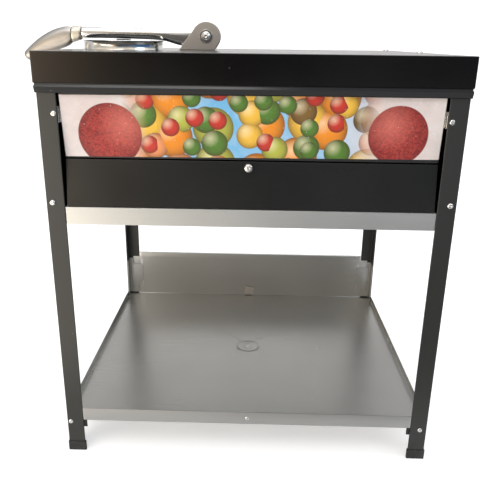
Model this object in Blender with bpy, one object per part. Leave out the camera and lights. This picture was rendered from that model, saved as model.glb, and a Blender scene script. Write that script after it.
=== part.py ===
"""Lever ice crusher on a sheet metal table with an ice drawer and a lower shelf.

Metres, +Z up. The empty table_origin stands on the floor, midway between the
legs, in the plane of the front legs' faces. Everything is placed from it, and
it is shifted so that the world origin is under the middle of the whole object.
"""
import math

import bmesh
import bpy
from mathutils import Matrix, Vector

MM = 0.001
GAP = 0.3 * MM

# Frame of four steel angles
FRAME_WIDTH = 702 * MM
FRAME_DEPTH = 620 * MM
LEG_SIZE = 31.75 * MM
LEG_WALL = 3.2 * MM
CAP_HEIGHT = 20 * MM
CAP_WALL = 1.6 * MM
CAP_FLOOR = 3 * MM

# Bent sheet table top
TOP_HEIGHT = 760 * MM
TOP_OVERHANG = 3.4 * MM
SHEET = 1.5 * MM
APRON_HEIGHT = 50 * MM
BAND_HEIGHT = 15 * MM
BAND_INSET = 1.6 * MM

# Front between the legs, from the apron down to the drip pan
CREASE_HEIGHT = 586 * MM
CREASE_RECESS = 15 * MM
FRONT_RECESS = 3 * MM
FRONT_HALF_WIDTH = 316 * MM
FASCIA_TOP = 708 * MM
PANEL_TOP = 706 * MM
PRINT_TOP = 694 * MM
PRINT_SIDE_MARGIN = 1 * MM
PRINT_LOWER_MARGIN = 5 * MM
PRINT_THICKNESS = 0.5 * MM
CLIP_HEIGHT = 27 * MM
CLIP_MIDDLE = 660 * MM
CLIP_TAB = 3 * MM
CLIP_TONGUE = 14 * MM
CLIP_OFFSET = 2 * MM

# Drip pan and ice drawer
PAN_BOTTOM = 472 * MM
PAN_LIP_TOP = 503 * MM
PAN_EAR_TOP = 522 * MM
EAR_NOTCH = 3 * MM
DRAWER_HALF_WIDTH = 288 * MM
DRAWER_FRONT_Y = 19.8 * MM
DRAWER_REAR_Y = 570 * MM
DRAWER_TOP = 572 * MM
DRAWER_FRONT_LIP = 560 * MM
RAIL_LEDGE = 510 * MM
RAIL_FOOT_X = 338 * MM
RAIL_WEB_X = 302 * MM
RAIL_LEDGE_X = 262 * MM
RAIL_FRONT_Y = 25 * MM
RAIL_REAR_Y = 600 * MM
KNOB_X = -3.5 * MM
KNOB_SHANK = 2.2 * MM
KNOB_STEM = 4 * MM
KNOB_HEIGHT = 575 * MM
KNOB_RADIUS = 7.5 * MM

# Lower shelf tray
TRAY_FLOOR = 71 * MM
TRAY_LIP_TOP = 97 * MM
TRAY_SIDE_TOP = 85 * MM
TRAY_REAR_TOP = 196 * MM
TRAY_REAR_HALF_WIDTH = 311 * MM
TRAY_EAR_REACH = 338 * MM
TRAY_EAR_BOTTOM = 161 * MM
TRAY_EAR_TOP = 185 * MM
TRAY_REAR_FOLD = 7 * MM
WING_FOOT = 74.5 * MM
WING_NECK_TOP = 97 * MM
WING_CHAMFER_TOP = 114 * MM
WING_UNDER_EAR = 160 * MM
WING_TOP = 180 * MM
WING_NECK_X = 327 * MM
WING_EDGE_X = 312 * MM
WING_BESIDE_EAR = 339 * MM
WING_GAP = 1 * MM
STIFFENER_DEPTH = 18 * MM
STIFFENER_HALF_WIDTH = 16 * MM
STIFFENER_START = 32 * MM
STIFFENER_FLANGE = 12 * MM
STIFFENER_SHEET = 1.2 * MM
TRAY_BRACKET_BOTTOM = 52 * MM
TRAY_BRACKET_LEDGE = 26 * MM
TRAY_BRACKET_SHEET = 2 * MM
SQUARE_WASHER = 25 * MM
WASHER_THICKNESS = 1.2 * MM

# Crushing head
LEVER_Y = 290 * MM
PIVOT_X = -95 * MM
PIVOT_RISE = 26.5 * MM
HOPPER_X = -265 * MM
COLLAR_BORE = 76 * MM
COLLAR_WALL = 3 * MM
COLLAR_RISE = 17.3 * MM
COLLAR_DROP = 66 * MM
COLLAR_FLANGE = 87 * MM
COLLAR_LIP = 71 * MM
FLANGE_SHEET = 3 * MM
GRATE_HEIGHT = 14 * MM
BLADE_PITCH = 18 * MM
BLADE_THICKNESS = 3 * MM
PLATE_RADIUS = 70 * MM
PLATE_THICKNESS = 5 * MM
PLATE_DROP = 22 * MM
SPIKE_LENGTH = 13 * MM
SPIKE_RADIUS = 4.5 * MM
SPIKE_ROWS = 6
SPIKE_PITCH = 22 * MM
LUG_FOOT = 16 * MM
LUG_ROUND = 6 * MM
LUG_HALF_WIDTH = 7.8 * MM
PIN_RISE = 9 * MM
PIN_RADIUS = 2.5 * MM
PIN_LENGTH = 30 * MM
YOKE_TOP = 20 * MM
YOKE_WEB = 3 * MM
YOKE_HALF_WIDTH = 13 * MM
YOKE_SLOT = 8.5 * MM
YOKE_HALF_LENGTH = 12 * MM
DRILL = 40 * MM
CHUTE_MOUTH = 60 * MM
CHUTE_BOTTOM = 590 * MM

# Lever and its bracket
EAR_RADIUS = 28 * MM
EAR_THICKNESS = 5 * MM
FORK_HALF_WIDTH = 14 * MM
BRACKET_LEFT = -150 * MM
BRACKET_RIGHT = -79 * MM
BASE_THICKNESS = 4 * MM
BRACKET_BOLTS_X = (-137 * MM, -91 * MM)
BOLT_HOLE = 4.3 * MM
BOLT_SHANK = 4 * MM
BOLT_HEAD = 6.5 * MM
BOLT_HEAD_HEIGHT = 5 * MM
BACKING_LEFT = -160 * MM
BACKING_RIGHT = -68 * MM
BACKING_HALF_WIDTH = 32 * MM
PIVOT_WASHER = 13 * MM
PIVOT_WASHER_THICKNESS = 2 * MM
PIVOT_HEAD = 9.5 * MM
PIVOT_HEAD_HEIGHT = 6 * MM
PIVOT_NUT = 10 * MM
PIVOT_NUT_HEIGHT = 6 * MM
THREAD_END = 8 * MM
PIVOT_RADIUS = 6 * MM
BUSH_RADIUS = 8 * MM
BOSS_RADIUS = 20 * MM
BOSS_HALF_WIDTH = 13 * MM
ARM_END = -349.6 * MM
ARM_END_RISE = 31.2 * MM
ARM_END_HALF_HEIGHT = 10.8 * MM
ARM_END_HALF_WIDTH = 11.5 * MM
ARM_STATIONS = ((-100, 26, 17.5, 12.5), (-122, 25.8, 18.6, 12.5), (-148, 25, 18.4, 12.5),
                (-164, 27.4, 15, 12.5), (-182, 29.6, 11.4, 12.5), (-235, 30.4, 10.8, 12),
                (-318, 31.4, 10.4, 11.5))
COLLAR_BAND = 19.4 * MM
COLLAR_STATIONS = ((0, 31, 12.2, 12.3), (2, 30.6, 13.6, 13), (17.4, 27.9, 15.9, 13.6),
                   (19.4, 27.4, 15.2, 13.2))
GRIP_START_RISE = 26.8 * MM
GRIP_LENGTH = 99.57 * MM
GRIP_SLOPES = (13, 36)
GRIP_NECK = 15.5 * MM
GRIP_SWELL = 5 * MM
GRIP_TAPER = 4 * MM
GRIP_HALF_WIDTH = 13 * MM
GRIP_REACH = 471.7 * MM

LEG_X = FRAME_WIDTH / 2
LEG_INNER_X = LEG_X - LEG_SIZE
TOP_HALF_WIDTH = LEG_X + TOP_OVERHANG
TOP_FRONT = -TOP_OVERHANG
TOP_REAR = FRAME_DEPTH + TOP_OVERHANG
PANEL_X = LEG_X - LEG_WALL - 2 * GAP
PANEL_REAR = FRAME_DEPTH - LEG_WALL - GAP
BRACKET_HALF_WIDTH = FORK_HALF_WIDTH + EAR_THICKNESS
COLLAR_BOTTOM = TOP_HEIGHT - COLLAR_DROP
PIVOT_Z = TOP_HEIGHT + PIVOT_RISE
ROUND = 40


def clear_scene():
    for obj in list(bpy.data.objects):
        bpy.data.objects.remove(obj, do_unlink=True)


def finish(name, colour, roughness, metallic):
    mat = bpy.data.materials.new(name)
    mat.use_nodes = True
    shader = mat.node_tree.nodes["Principled BSDF"]
    shader.inputs["Base Color"].default_value = (*colour, 1.0)
    shader.inputs["Roughness"].default_value = roughness
    shader.inputs["Metallic"].default_value = metallic
    mat.diffuse_color = (*colour, 1.0)
    return mat


def empty(name, place, parent=None):
    obj = bpy.data.objects.new(name, None)
    bpy.context.collection.objects.link(obj)
    obj.parent = parent
    obj.location = place
    return obj


def add_object(name, bm, mat, parent, smooth_angle=None):
    """Turn a bmesh, drawn in the table's frame, into an object with its parent's origin."""
    bmesh.ops.translate(bm, verts=bm.verts, vec=-offset_from_table(parent))
    mesh = bpy.data.meshes.new(name)
    bm.to_mesh(mesh)
    bm.free()
    if smooth_angle is not None:
        mesh.shade_smooth()
        mesh.set_sharp_from_angle(angle=math.radians(smooth_angle))
    obj = bpy.data.objects.new(name, mesh)
    bpy.context.collection.objects.link(obj)
    obj.parent = parent
    if mat:
        mesh.materials.append(mat)
    return obj


def offset_from_table(parent):
    offset = Vector((0, 0, 0))
    while parent is not None and parent.name != "table_origin":
        offset += parent.location
        parent = parent.parent
    return offset


def boolean(obj, bm, operation, parent):
    """Cut a hidden guide body out of an object, or join it on."""
    step = len(obj.modifiers) + 1
    guide = add_object(f"{obj.name}_guide_{step}", bm, None, parent)
    guide.hide_render = True
    guide.display_type = "WIRE"
    modifier = obj.modifiers.new(operation.title(), "BOOLEAN")
    modifier.operation = operation
    modifier.solver = "EXACT"
    modifier.object = guide


def add_box(bm, low, high):
    size = [h - l for l, h in zip(low, high)]
    middle = [(h + l) / 2 for l, h in zip(low, high)]
    matrix = Matrix.Translation(middle) @ Matrix.Diagonal((*size, 1.0))
    bmesh.ops.create_cube(bm, size=1.0, matrix=matrix)


def box(low, high):
    bm = bmesh.new()
    add_box(bm, low, high)
    return bm


def add_prism(bm, outline, axis, start, end):
    """Extrude a flat outline along one axis; its points are the other two coordinates in order."""
    def point(pair, along):
        values = list(pair)
        values.insert("XYZ".index(axis), along)
        return values
    face = bm.faces.new([bm.verts.new(point(pair, start)) for pair in outline])
    grown = bmesh.ops.extrude_face_region(bm, geom=[face])
    moved = [v for v in grown["geom"] if isinstance(v, bmesh.types.BMVert)]
    travel = Vector([0, 0, 0])
    travel["XYZ".index(axis)] = end - start
    bmesh.ops.translate(bm, verts=moved, vec=travel)
    bmesh.ops.recalc_face_normals(bm, faces=bm.faces)


def prism(outline, axis, start, end):
    bm = bmesh.new()
    add_prism(bm, outline, axis, start, end)
    return bm


def add_turned(bm, profile, centre, axis="Z", steps=ROUND):
    """Spin a closed profile of (radius, height) points; height runs along the axis."""
    part = bmesh.new()
    loop = [part.verts.new((radius, 0, height)) for radius, height in profile]
    edges = [part.edges.new((a, b)) for a, b in zip(loop, loop[1:] + loop[:1])]
    bmesh.ops.spin(part, geom=loop + edges, cent=(0, 0, 0), axis=(0, 0, 1),
                   angle=math.tau, steps=steps, use_merge=True)
    bmesh.ops.remove_doubles(part, verts=part.verts, dist=0.00001)
    bmesh.ops.delete(part, geom=[e for e in part.edges if not e.link_faces], context="EDGES")
    bmesh.ops.recalc_face_normals(part, faces=part.faces)
    turn = {"Z": Matrix(), "-Z": Matrix.Rotation(math.pi, 4, "X"),
            "Y": Matrix.Rotation(-math.pi / 2, 4, "X"), "-Y": Matrix.Rotation(math.pi / 2, 4, "X"),
            "X": Matrix.Rotation(math.pi / 2, 4, "Y"), "-X": Matrix.Rotation(-math.pi / 2, 4, "Y")}
    bmesh.ops.transform(part, matrix=Matrix.Translation(centre) @ turn[axis], verts=part.verts)
    mesh = bpy.data.meshes.new("turned")
    part.to_mesh(mesh)
    part.free()
    bm.from_mesh(mesh)
    bpy.data.meshes.remove(mesh)


def turned(profile, centre, axis="Z", steps=ROUND):
    bm = bmesh.new()
    add_turned(bm, profile, centre, axis, steps)
    return bm


def add_rod(bm, radius, start, length, axis, steps=16):
    add_turned(bm, [(0, 0), (radius, 0), (radius, length), (0, length)], start, axis, steps)


def rod(radius, start, length, axis, steps=16):
    bm = bmesh.new()
    add_rod(bm, radius, start, length, axis, steps)
    return bm


def add_head(name, radius, height, place, axis, mat, parent):
    """A domed screw or rivet head, standing on a face and pointing along the axis."""
    profile = [(0, 0), (radius, 0), (radius, height * 0.35), (radius * 0.72, height * 0.85), (0, height)]
    add_object(name, turned(profile, place, axis, 12), mat, parent, 35)


def sheet(name, faces, outside, mat, parent, thickness=SHEET):
    """A bent sheet: flat faces that share their edges, thickened on the side away from outside."""
    bm = bmesh.new()
    for corners in faces:
        bm.faces.new([bm.verts.new(corner) for corner in corners])
    bmesh.ops.remove_doubles(bm, verts=bm.verts, dist=0.00001)
    bmesh.ops.recalc_face_normals(bm, faces=bm.faces)
    bm.faces.ensure_lookup_table()
    bm.normal_update()
    if bm.faces[0].normal.dot(Vector(outside)) < 0:
        bmesh.ops.reverse_faces(bm, faces=bm.faces)
    obj = add_object(name, bm, mat, parent)
    solidify = obj.modifiers.new("Thickness", "SOLIDIFY")
    solidify.thickness = thickness
    solidify.offset = -1
    solidify.use_even_offset = True
    return obj


def folded_strip(points, axis, start, end):
    """Faces of a strip whose cross-section is a line of points, running along one axis."""
    def place(pair, along):
        values = list(pair)
        values.insert("XYZ".index(axis), along)
        return tuple(values)
    return [[place(a, start), place(a, end), place(b, end), place(b, start)]
            for a, b in zip(points, points[1:])]


def corner_angle(side, end):
    """Outline of a leg's angle section in X and Y; side is -1 or 1, end is 0 in front or 1 behind."""
    outer_x = side * LEG_X
    outer_y = end * FRAME_DEPTH
    into_x = -side
    into_y = 1 - 2 * end
    steps = [(0, 0), (LEG_SIZE, 0), (LEG_SIZE, LEG_WALL), (LEG_WALL, LEG_WALL),
             (LEG_WALL, LEG_SIZE), (0, LEG_SIZE)]
    return [(outer_x + into_x * a, outer_y + into_y * b) for a, b in steps]


def cap_outline(side, end):
    """The angle section grown by the cap's wall all round."""
    outer_x = side * (LEG_X + CAP_WALL)
    outer_y = end * FRAME_DEPTH - (1 - 2 * end) * CAP_WALL
    into_x = -side
    into_y = 1 - 2 * end
    long = LEG_SIZE + 2 * CAP_WALL
    short = LEG_WALL + 2 * CAP_WALL
    steps = [(0, 0), (long, 0), (long, short), (short, short), (short, long), (0, long)]
    return [(outer_x + into_x * a, outer_y + into_y * b) for a, b in steps]


def front_y(height):
    """Depth of the front's face: it leans back to a crease and comes forward again below it."""
    if height > CREASE_HEIGHT:
        share = (FASCIA_TOP - height) / (FASCIA_TOP - CREASE_HEIGHT)
    else:
        share = (height - PAN_LIP_TOP) / (CREASE_HEIGHT - PAN_LIP_TOP)
    return FRONT_RECESS + (CREASE_RECESS - FRONT_RECESS) * share


def build_legs(black, plastic, parent):
    for side, hand in ((-1, "left"), (1, "right")):
        for end, depth in ((0, "front"), (1, "rear")):
            outline = corner_angle(side, end)
            bm = prism(outline, "Z", CAP_FLOOR + GAP, TOP_HEIGHT - SHEET - GAP)
            add_object(f"leg_{depth}_{hand}", bm, black, parent)
            cap = add_object(f"foot_cap_{depth}_{hand}",
                             prism(cap_outline(side, end), "Z", 0, CAP_HEIGHT), plastic, parent)
            pocket = bmesh.new()
            add_prism(pocket, outline, "Z", CAP_FLOOR, CAP_HEIGHT + 5 * MM)
            for vert in pocket.verts:
                grow_x = 1 if abs(abs(vert.co.x) - LEG_X) < GAP else -1
                from_end = abs(vert.co.y - end * FRAME_DEPTH)
                grow_y = 1 if from_end < GAP else -1
                vert.co.x += side * grow_x * GAP
                vert.co.y += (2 * end - 1) * grow_y * GAP
            boolean(cap, pocket, "DIFFERENCE", parent)


def build_table_top(black, parent):
    x, y0, y1, z = TOP_HALF_WIDTH, TOP_FRONT, TOP_REAR, TOP_HEIGHT
    def ring(inset, height):
        return [(-x + inset, y0 + inset, height), (x - inset, y0 + inset, height),
                (x - inset, y1 - inset, height), (-x + inset, y1 - inset, height)]
    levels = [ring(0, z), ring(0, z - APRON_HEIGHT), ring(BAND_INSET, z - APRON_HEIGHT - BAND_HEIGHT)]
    faces = [levels[0]]
    for upper, lower in zip(levels, levels[1:]):
        for i in range(4):
            j = (i + 1) % 4
            faces.append([upper[i], upper[j], lower[j], lower[i]])
    top = sheet("table_top", faces, (0, 0, 1), black, parent)
    cutter = rod(COLLAR_BORE + COLLAR_WALL + GAP, (HOPPER_X, LEVER_Y, z - 10 * MM), 20 * MM, "Z", ROUND)
    for place in bracket_bolt_places():
        add_rod(cutter, BOLT_HOLE, (*place, z - 10 * MM), 20 * MM, "Z", 12)
    boolean(top, cutter, "DIFFERENCE", parent)


def bracket_bolt_places():
    return [(x, LEVER_Y) for x in BRACKET_BOLTS_X]


def build_front(black, print_mat, bright, parent):
    x = FRONT_HALF_WIDTH
    line = [(front_y(FASCIA_TOP), FASCIA_TOP), (CREASE_RECESS, CREASE_HEIGHT + 1 * MM),
            (CREASE_RECESS + 10 * MM, CREASE_HEIGHT + 1 * MM)]
    sheet("fascia_panel", folded_strip(line, "X", -x, x), (0, -1, 0), black, parent)

    low = CREASE_HEIGHT + PRINT_LOWER_MARGIN
    ahead = PRINT_THICKNESS + GAP
    line = [(front_y(PRINT_TOP) - ahead, PRINT_TOP), (front_y(low) - ahead, low)]
    half = x - PRINT_SIDE_MARGIN
    sheet("fascia_print", folded_strip(line, "X", -half, half), (0, -1, 0), print_mat, parent,
          PRINT_THICKNESS)

    behind_leg = LEG_WALL + GAP
    behind_fascia = front_y(CLIP_MIDDLE - CLIP_HEIGHT / 2) + SHEET + 3 * GAP
    for side, hand in ((-1, "left"), (1, "right")):
        tab = LEG_X - LEG_WALL - CLIP_TAB
        web = x + CLIP_OFFSET
        tongue = x - CLIP_TONGUE
        profile = [(tab, behind_leg), (web, behind_leg), (web, behind_fascia), (tongue, behind_fascia),
                   (tongue, behind_fascia + SHEET), (web + SHEET, behind_fascia + SHEET),
                   (web + SHEET, behind_leg + SHEET), (tab, behind_leg + SHEET)]
        outline = [(side * a, b) for a, b in profile]
        clip = prism(outline, "Z", CLIP_MIDDLE - CLIP_HEIGHT / 2, CLIP_MIDDLE + CLIP_HEIGHT / 2)
        add_object(f"fascia_clip_{hand}", clip, bright, parent)


def build_panels(black, parent):
    low = PAN_BOTTOM + SHEET
    high = PANEL_TOP
    for side, hand in ((-1, "left"), (1, "right")):
        inner, outer = sorted((side * (PANEL_X - SHEET), side * PANEL_X))
        bm = box((inner, LEG_WALL + 2 * GAP, low), (outer, PANEL_REAR - SHEET - GAP, high))
        add_object(f"side_panel_{hand}", bm, black, parent)
    bm = box((-PANEL_X, PANEL_REAR - SHEET, low), (PANEL_X, PANEL_REAR, high))
    add_object("rear_panel", bm, black, parent)


def build_drip_pan(steel, parent):
    """The strip between the legs, jogged back behind them into bolted ears, and the tray behind it."""
    z = PAN_BOTTOM
    lip_x = LEG_INNER_X - 0.75 * MM
    side_x = PANEL_X - SHEET - GAP
    front = GAP
    ear_y = LEG_WALL + GAP
    faces = [[(-lip_x, front, z), (lip_x, front, z), (lip_x, front, PAN_LIP_TOP),
              (-lip_x, front, PAN_LIP_TOP)]]
    for side in (-1, 1):
        a, b = side * lip_x, side * side_x
        faces.append([(a, front, z), (a, ear_y, z), (a, ear_y, PAN_LIP_TOP), (a, front, PAN_LIP_TOP)])
        ear_x = a + side * EAR_NOTCH
        faces.append([(a, ear_y, z), (b, ear_y, z), (b, ear_y, PAN_LIP_TOP), (ear_x, ear_y, PAN_LIP_TOP),
                      (a, ear_y, PAN_LIP_TOP)])
        faces.append([(ear_x, ear_y, PAN_LIP_TOP), (b, ear_y, PAN_LIP_TOP), (b, ear_y, PAN_EAR_TOP),
                      (ear_x, ear_y, PAN_EAR_TOP)])
    sheet("front_rail", faces, (0, -1, 0), steel, parent)

    y0 = ear_y + SHEET + GAP
    y1 = PANEL_REAR - SHEET - 2 * GAP
    base = [(-side_x, y0, z), (side_x, y0, z), (side_x, y1, z), (-side_x, y1, z)]
    sheet("drip_pan", open_tray(base, PAN_LIP_TOP), (0, 0, -1), steel, parent)


def open_tray(base, rim_height):
    """Faces of a floor and the four walls round it."""
    rim = [(px, py, rim_height) for px, py, _ in base]
    return [base] + [[base[i], base[(i + 1) % 4], rim[(i + 1) % 4], rim[i]] for i in range(4)]


def build_drawer(black, steel, bright, parent, slide):
    floor = PAN_BOTTOM + SHEET + GAP
    for side, hand in ((-1, "left"), (1, "right")):
        line = [(side * RAIL_FOOT_X, floor + SHEET), (side * RAIL_WEB_X, floor + SHEET),
                (side * RAIL_WEB_X, RAIL_LEDGE), (side * RAIL_LEDGE_X, RAIL_LEDGE)]
        faces = folded_strip(line, "Y", RAIL_FRONT_Y, RAIL_REAR_Y)
        sheet(f"drawer_rail_{hand}", faces, (0, 0, 1), steel, parent)

    x, y0, y1 = DRAWER_HALF_WIDTH, DRAWER_FRONT_Y, DRAWER_REAR_Y
    low = RAIL_LEDGE + GAP
    base = [(-x, y0, low), (x, y0, low), (x, y1, low), (-x, y1, low)]
    sheet("drawer_box", open_tray(base, DRAWER_TOP), (0, 0, -1), steel, slide)

    top = CREASE_HEIGHT - 1.5 * MM
    bottom = PAN_LIP_TOP + 0.8 * MM
    back = y0 - GAP
    line = [(back, DRAWER_FRONT_LIP), (back, top), (front_y(top), top), (front_y(bottom), bottom),
            (back, bottom)]
    faces = folded_strip(line, "X", -FRONT_HALF_WIDTH, FRONT_HALF_WIDTH)
    front = sheet("drawer_front", faces, (0, 1, 0), black, slide)

    hole_y = front_y(KNOB_HEIGHT)
    hole = rod(KNOB_SHANK, (KNOB_X, hole_y - 5 * MM, KNOB_HEIGHT), 9 * MM, "Y", 12)
    boolean(front, hole, "DIFFERENCE", slide)
    profile = [(0, 0), (KNOB_STEM, 0), (KNOB_STEM, 3 * MM), (KNOB_RADIUS, 4.5 * MM), (KNOB_RADIUS, 8 * MM),
               (KNOB_RADIUS * 0.8, 10 * MM), (2 * MM, 10.6 * MM), (1.6 * MM, 9 * MM), (0, 9 * MM)]
    face = hole_y - 1.2 * MM
    knob = turned(profile, (KNOB_X, face, KNOB_HEIGHT), "-Y", 20)
    add_object("drawer_knob", knob, bright, slide, 35)


def build_tray(steel, black, bright, parent):
    z = TRAY_FLOOR
    lip_x = LEG_INNER_X - 0.75 * MM
    inner_x = LEG_X - LEG_WALL - 2 * GAP
    side_x = LEG_X - GAP
    foot_x = WING_NECK_X - WING_GAP
    rear_y = FRAME_DEPTH - LEG_WALL - GAP
    notch = LEG_SIZE + GAP
    half = [(lip_x, GAP), (lip_x, LEG_WALL + GAP), (inner_x, LEG_WALL + GAP), (inner_x, notch),
            (side_x, notch), (side_x, FRAME_DEPTH - notch), (inner_x, FRAME_DEPTH - notch),
            (inner_x, rear_y - 3 * MM), (foot_x, rear_y - 3 * MM), (foot_x, rear_y)]
    outline = half + [(-px, py) for px, py in reversed(half)]
    low = z - SHEET
    faces = [[(px, py, low) for px, py in outline]]
    faces.append([(-lip_x, GAP, low), (lip_x, GAP, low), (lip_x, GAP, TRAY_LIP_TOP),
                  (-lip_x, GAP, TRAY_LIP_TOP)])
    for side in (-1, 1):
        a = (side * side_x, notch)
        b = (side * side_x, FRAME_DEPTH - notch)
        faces.append([(*a, low), (*b, low), (*b, TRAY_SIDE_TOP), (*a, TRAY_SIDE_TOP)])
    wall_x = TRAY_REAR_HALF_WIDTH
    wall_foot = WING_CHAMFER_TOP - WING_GAP
    wall = [(-foot_x, low), (foot_x, low), (foot_x, WING_NECK_TOP - WING_GAP), (wall_x, wall_foot),
            (-wall_x, wall_foot), (-foot_x, WING_NECK_TOP - WING_GAP)]
    faces.append([(px, rear_y, pz) for px, pz in wall])
    heights = [wall_foot, TRAY_EAR_BOTTOM, TRAY_EAR_TOP]
    for a, b in zip(heights, heights[1:]):
        faces.append([(-wall_x, rear_y, a), (wall_x, rear_y, a), (wall_x, rear_y, b), (-wall_x, rear_y, b)])
    crown = [(-lip_x, TRAY_EAR_TOP), (-wall_x, TRAY_EAR_TOP), (wall_x, TRAY_EAR_TOP), (lip_x, TRAY_EAR_TOP),
             (lip_x, TRAY_REAR_TOP), (-lip_x, TRAY_REAR_TOP)]
    faces.append([(px, rear_y, pz) for px, pz in crown])
    for side in (-1, 1):
        ear = [(wall_x, TRAY_EAR_BOTTOM), (TRAY_EAR_REACH, TRAY_EAR_BOTTOM), (TRAY_EAR_REACH, TRAY_EAR_TOP),
               (lip_x, TRAY_EAR_TOP), (wall_x, TRAY_EAR_TOP)]
        faces.append([(side * px, rear_y, pz) for px, pz in ear])
        c = side * inner_x
        faces.append([(c, FRAME_DEPTH - notch, low), (c, rear_y - 3 * MM, low),
                      (c, rear_y - 3 * MM, WING_FOOT), (c, rear_y, WING_FOOT), (c, rear_y, WING_TOP),
                      (c, FRAME_DEPTH - notch, WING_TOP)])
        wing = [(inner_x, WING_FOOT), (WING_NECK_X, WING_FOOT), (WING_NECK_X, WING_NECK_TOP),
                (WING_EDGE_X, WING_CHAMFER_TOP), (WING_EDGE_X, WING_UNDER_EAR),
                (WING_BESIDE_EAR, WING_UNDER_EAR), (WING_BESIDE_EAR, WING_TOP), (inner_x, WING_TOP)]
        faces.append([(side * px, rear_y, pz) for px, pz in wing])
    fold = rear_y + TRAY_REAR_FOLD
    faces.append([(-lip_x, rear_y, TRAY_REAR_TOP), (lip_x, rear_y, TRAY_REAR_TOP),
                  (lip_x, fold, TRAY_REAR_TOP), (-lip_x, fold, TRAY_REAR_TOP)])
    sheet("shelf_tray", faces, (0, 0, -1), steel, parent)

    top = low - GAP
    bottom = top - STIFFENER_DEPTH
    w = STIFFENER_HALF_WIDTH
    flange = w + STIFFENER_FLANGE
    hat = [(-flange, top), (-w, top), (-w, bottom), (w, bottom), (w, top), (flange, top)]
    middle = FRAME_DEPTH / 2
    faces = folded_strip(hat, "Y", STIFFENER_START, FRAME_DEPTH - STIFFENER_START)
    sheet("tray_stiffener", faces, (0, 0, 1), steel, parent, STIFFENER_SHEET)
    across = [(middle + a, b) for a, b in hat]
    for side, hand in ((-1, "left"), (1, "right")):
        start, end = sorted((side * (flange + 2 * MM), side * (LEG_X - 20 * MM)))
        faces = folded_strip(across, "X", start, end)
        sheet(f"tray_cross_stiffener_{hand}", faces, (0, 0, 1), steel, parent, STIFFENER_SHEET)

    for side, hand in ((-1, "left"), (1, "right")):
        for end, depth in ((0, "front"), (1, "rear")):
            into = 1 - 2 * end
            face = end * FRAME_DEPTH + into * (LEG_WALL + GAP)
            inside = face + into * TRAY_BRACKET_SHEET
            tip = face + into * TRAY_BRACKET_LEDGE
            under = top - TRAY_BRACKET_SHEET
            line = [(face, TRAY_BRACKET_BOTTOM), (face, top), (tip, top), (tip, under), (inside, under),
                    (inside, TRAY_BRACKET_BOTTOM)]
            start, end_x = sorted((side * (LEG_INNER_X - 6 * MM), side * (LEG_X - LEG_WALL - 2 * MM)))
            add_object(f"tray_bracket_{depth}_{hand}", prism(line, "X", start, end_x), black, parent)

    half_side = SQUARE_WASHER / 2
    lip_y = SHEET + 2 * GAP
    wall_y = rear_y - SHEET - GAP
    for name, near in (("lip_washer", lip_y), ("rear_washer", wall_y - WASHER_THICKNESS)):
        low = z + GAP
        plate = box((-half_side, near, low), (half_side, near + WASHER_THICKNESS, low + SQUARE_WASHER))
        add_object(name, plate, steel, parent)
    add_head("lip_screw", 4.2 * MM, 2.2 * MM, (2 * MM, 0, 83 * MM), "-Y", bright, parent)
    add_head("shelf_rivet", 5 * MM, 1.6 * MM, (0, middle, z + GAP), "Z", bright, parent)


def build_leg_fasteners(bright, parent):
    heads = (("fascia_rivet", 4.6, 2, ((-325.4, 662), (326, 657))),
             ("pan_bolt", 5.2, 3, ((-340, 510.5), (340, 517))),
             ("tray_rivet", 4.6, 2, ((-344, 66), (338, 66))))
    for name, radius, height, places in heads:
        for hand, (x, z) in zip(("left", "right"), places):
            place = (x * MM, -GAP, z * MM)
            add_head(f"{name}_{hand}", radius * MM, height * MM, place, "-Y", bright, parent)


def build_hopper(bright, steel, parent):
    inner = COLLAR_BORE
    outer = COLLAR_BORE + COLLAR_WALL
    under = -SHEET - GAP
    floor = -COLLAR_DROP
    rim = COLLAR_RISE
    profile = [(inner, rim - 1.5 * MM), (inner + 1.5 * MM, rim), (outer + 1.5 * MM, rim),
               (outer + 2.8 * MM, rim - 1.2 * MM), (outer + 2.4 * MM, rim - 2.8 * MM),
               (outer, rim - 4 * MM), (outer, under), (COLLAR_FLANGE, under),
               (COLLAR_FLANGE, under - FLANGE_SHEET), (outer, under - FLANGE_SHEET),
               (outer, floor), (COLLAR_LIP, floor), (COLLAR_LIP, floor + 2 * MM), (inner, floor + 2 * MM)]
    centre = (HOPPER_X, LEVER_Y, TOP_HEIGHT)
    add_object("hopper_collar", turned(profile, centre), bright, parent, 30)

    rest = floor + 2 * MM + GAP
    ring = [(inner - GAP, rest), (inner - GAP, rest + GRATE_HEIGHT), (COLLAR_LIP, rest + GRATE_HEIGHT),
            (COLLAR_LIP, rest)]
    grate = add_object("blade_grate", turned(ring, centre), steel, parent, 30)
    blades = bmesh.new()
    half = BLADE_THICKNESS / 2
    rows = 7
    for i in range(rows):
        offset = (i - (rows - 1) / 2) * BLADE_PITCH
        reach = math.sqrt((inner - 2.5 * MM) ** 2 - offset ** 2)
        low = TOP_HEIGHT + rest + 0.5 * MM
        high = TOP_HEIGHT + rest + GRATE_HEIGHT - 0.5 * MM
        y = LEVER_Y + offset
        shoulder = high - 4 * MM
        outline = [(y - half, low), (y + half, low), (y + half, shoulder), (y, high), (y - half, shoulder)]
        add_prism(blades, outline, "X", HOPPER_X - reach, HOPPER_X + reach)
    boolean(grate, blades, "UNION", parent)

    top = COLLAR_BOTTOM - GAP
    wall = SHEET
    depth = CHUTE_BOTTOM - top
    funnel = [(inner - wall, 0), (outer, 0), (outer, -8 * MM), (CHUTE_MOUTH + wall, depth),
              (CHUTE_MOUTH, depth), (inner - wall, -8 * MM)]
    add_object("ice_chute", turned(funnel, (HOPPER_X, LEVER_Y, top)), steel, parent, 30)


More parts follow.
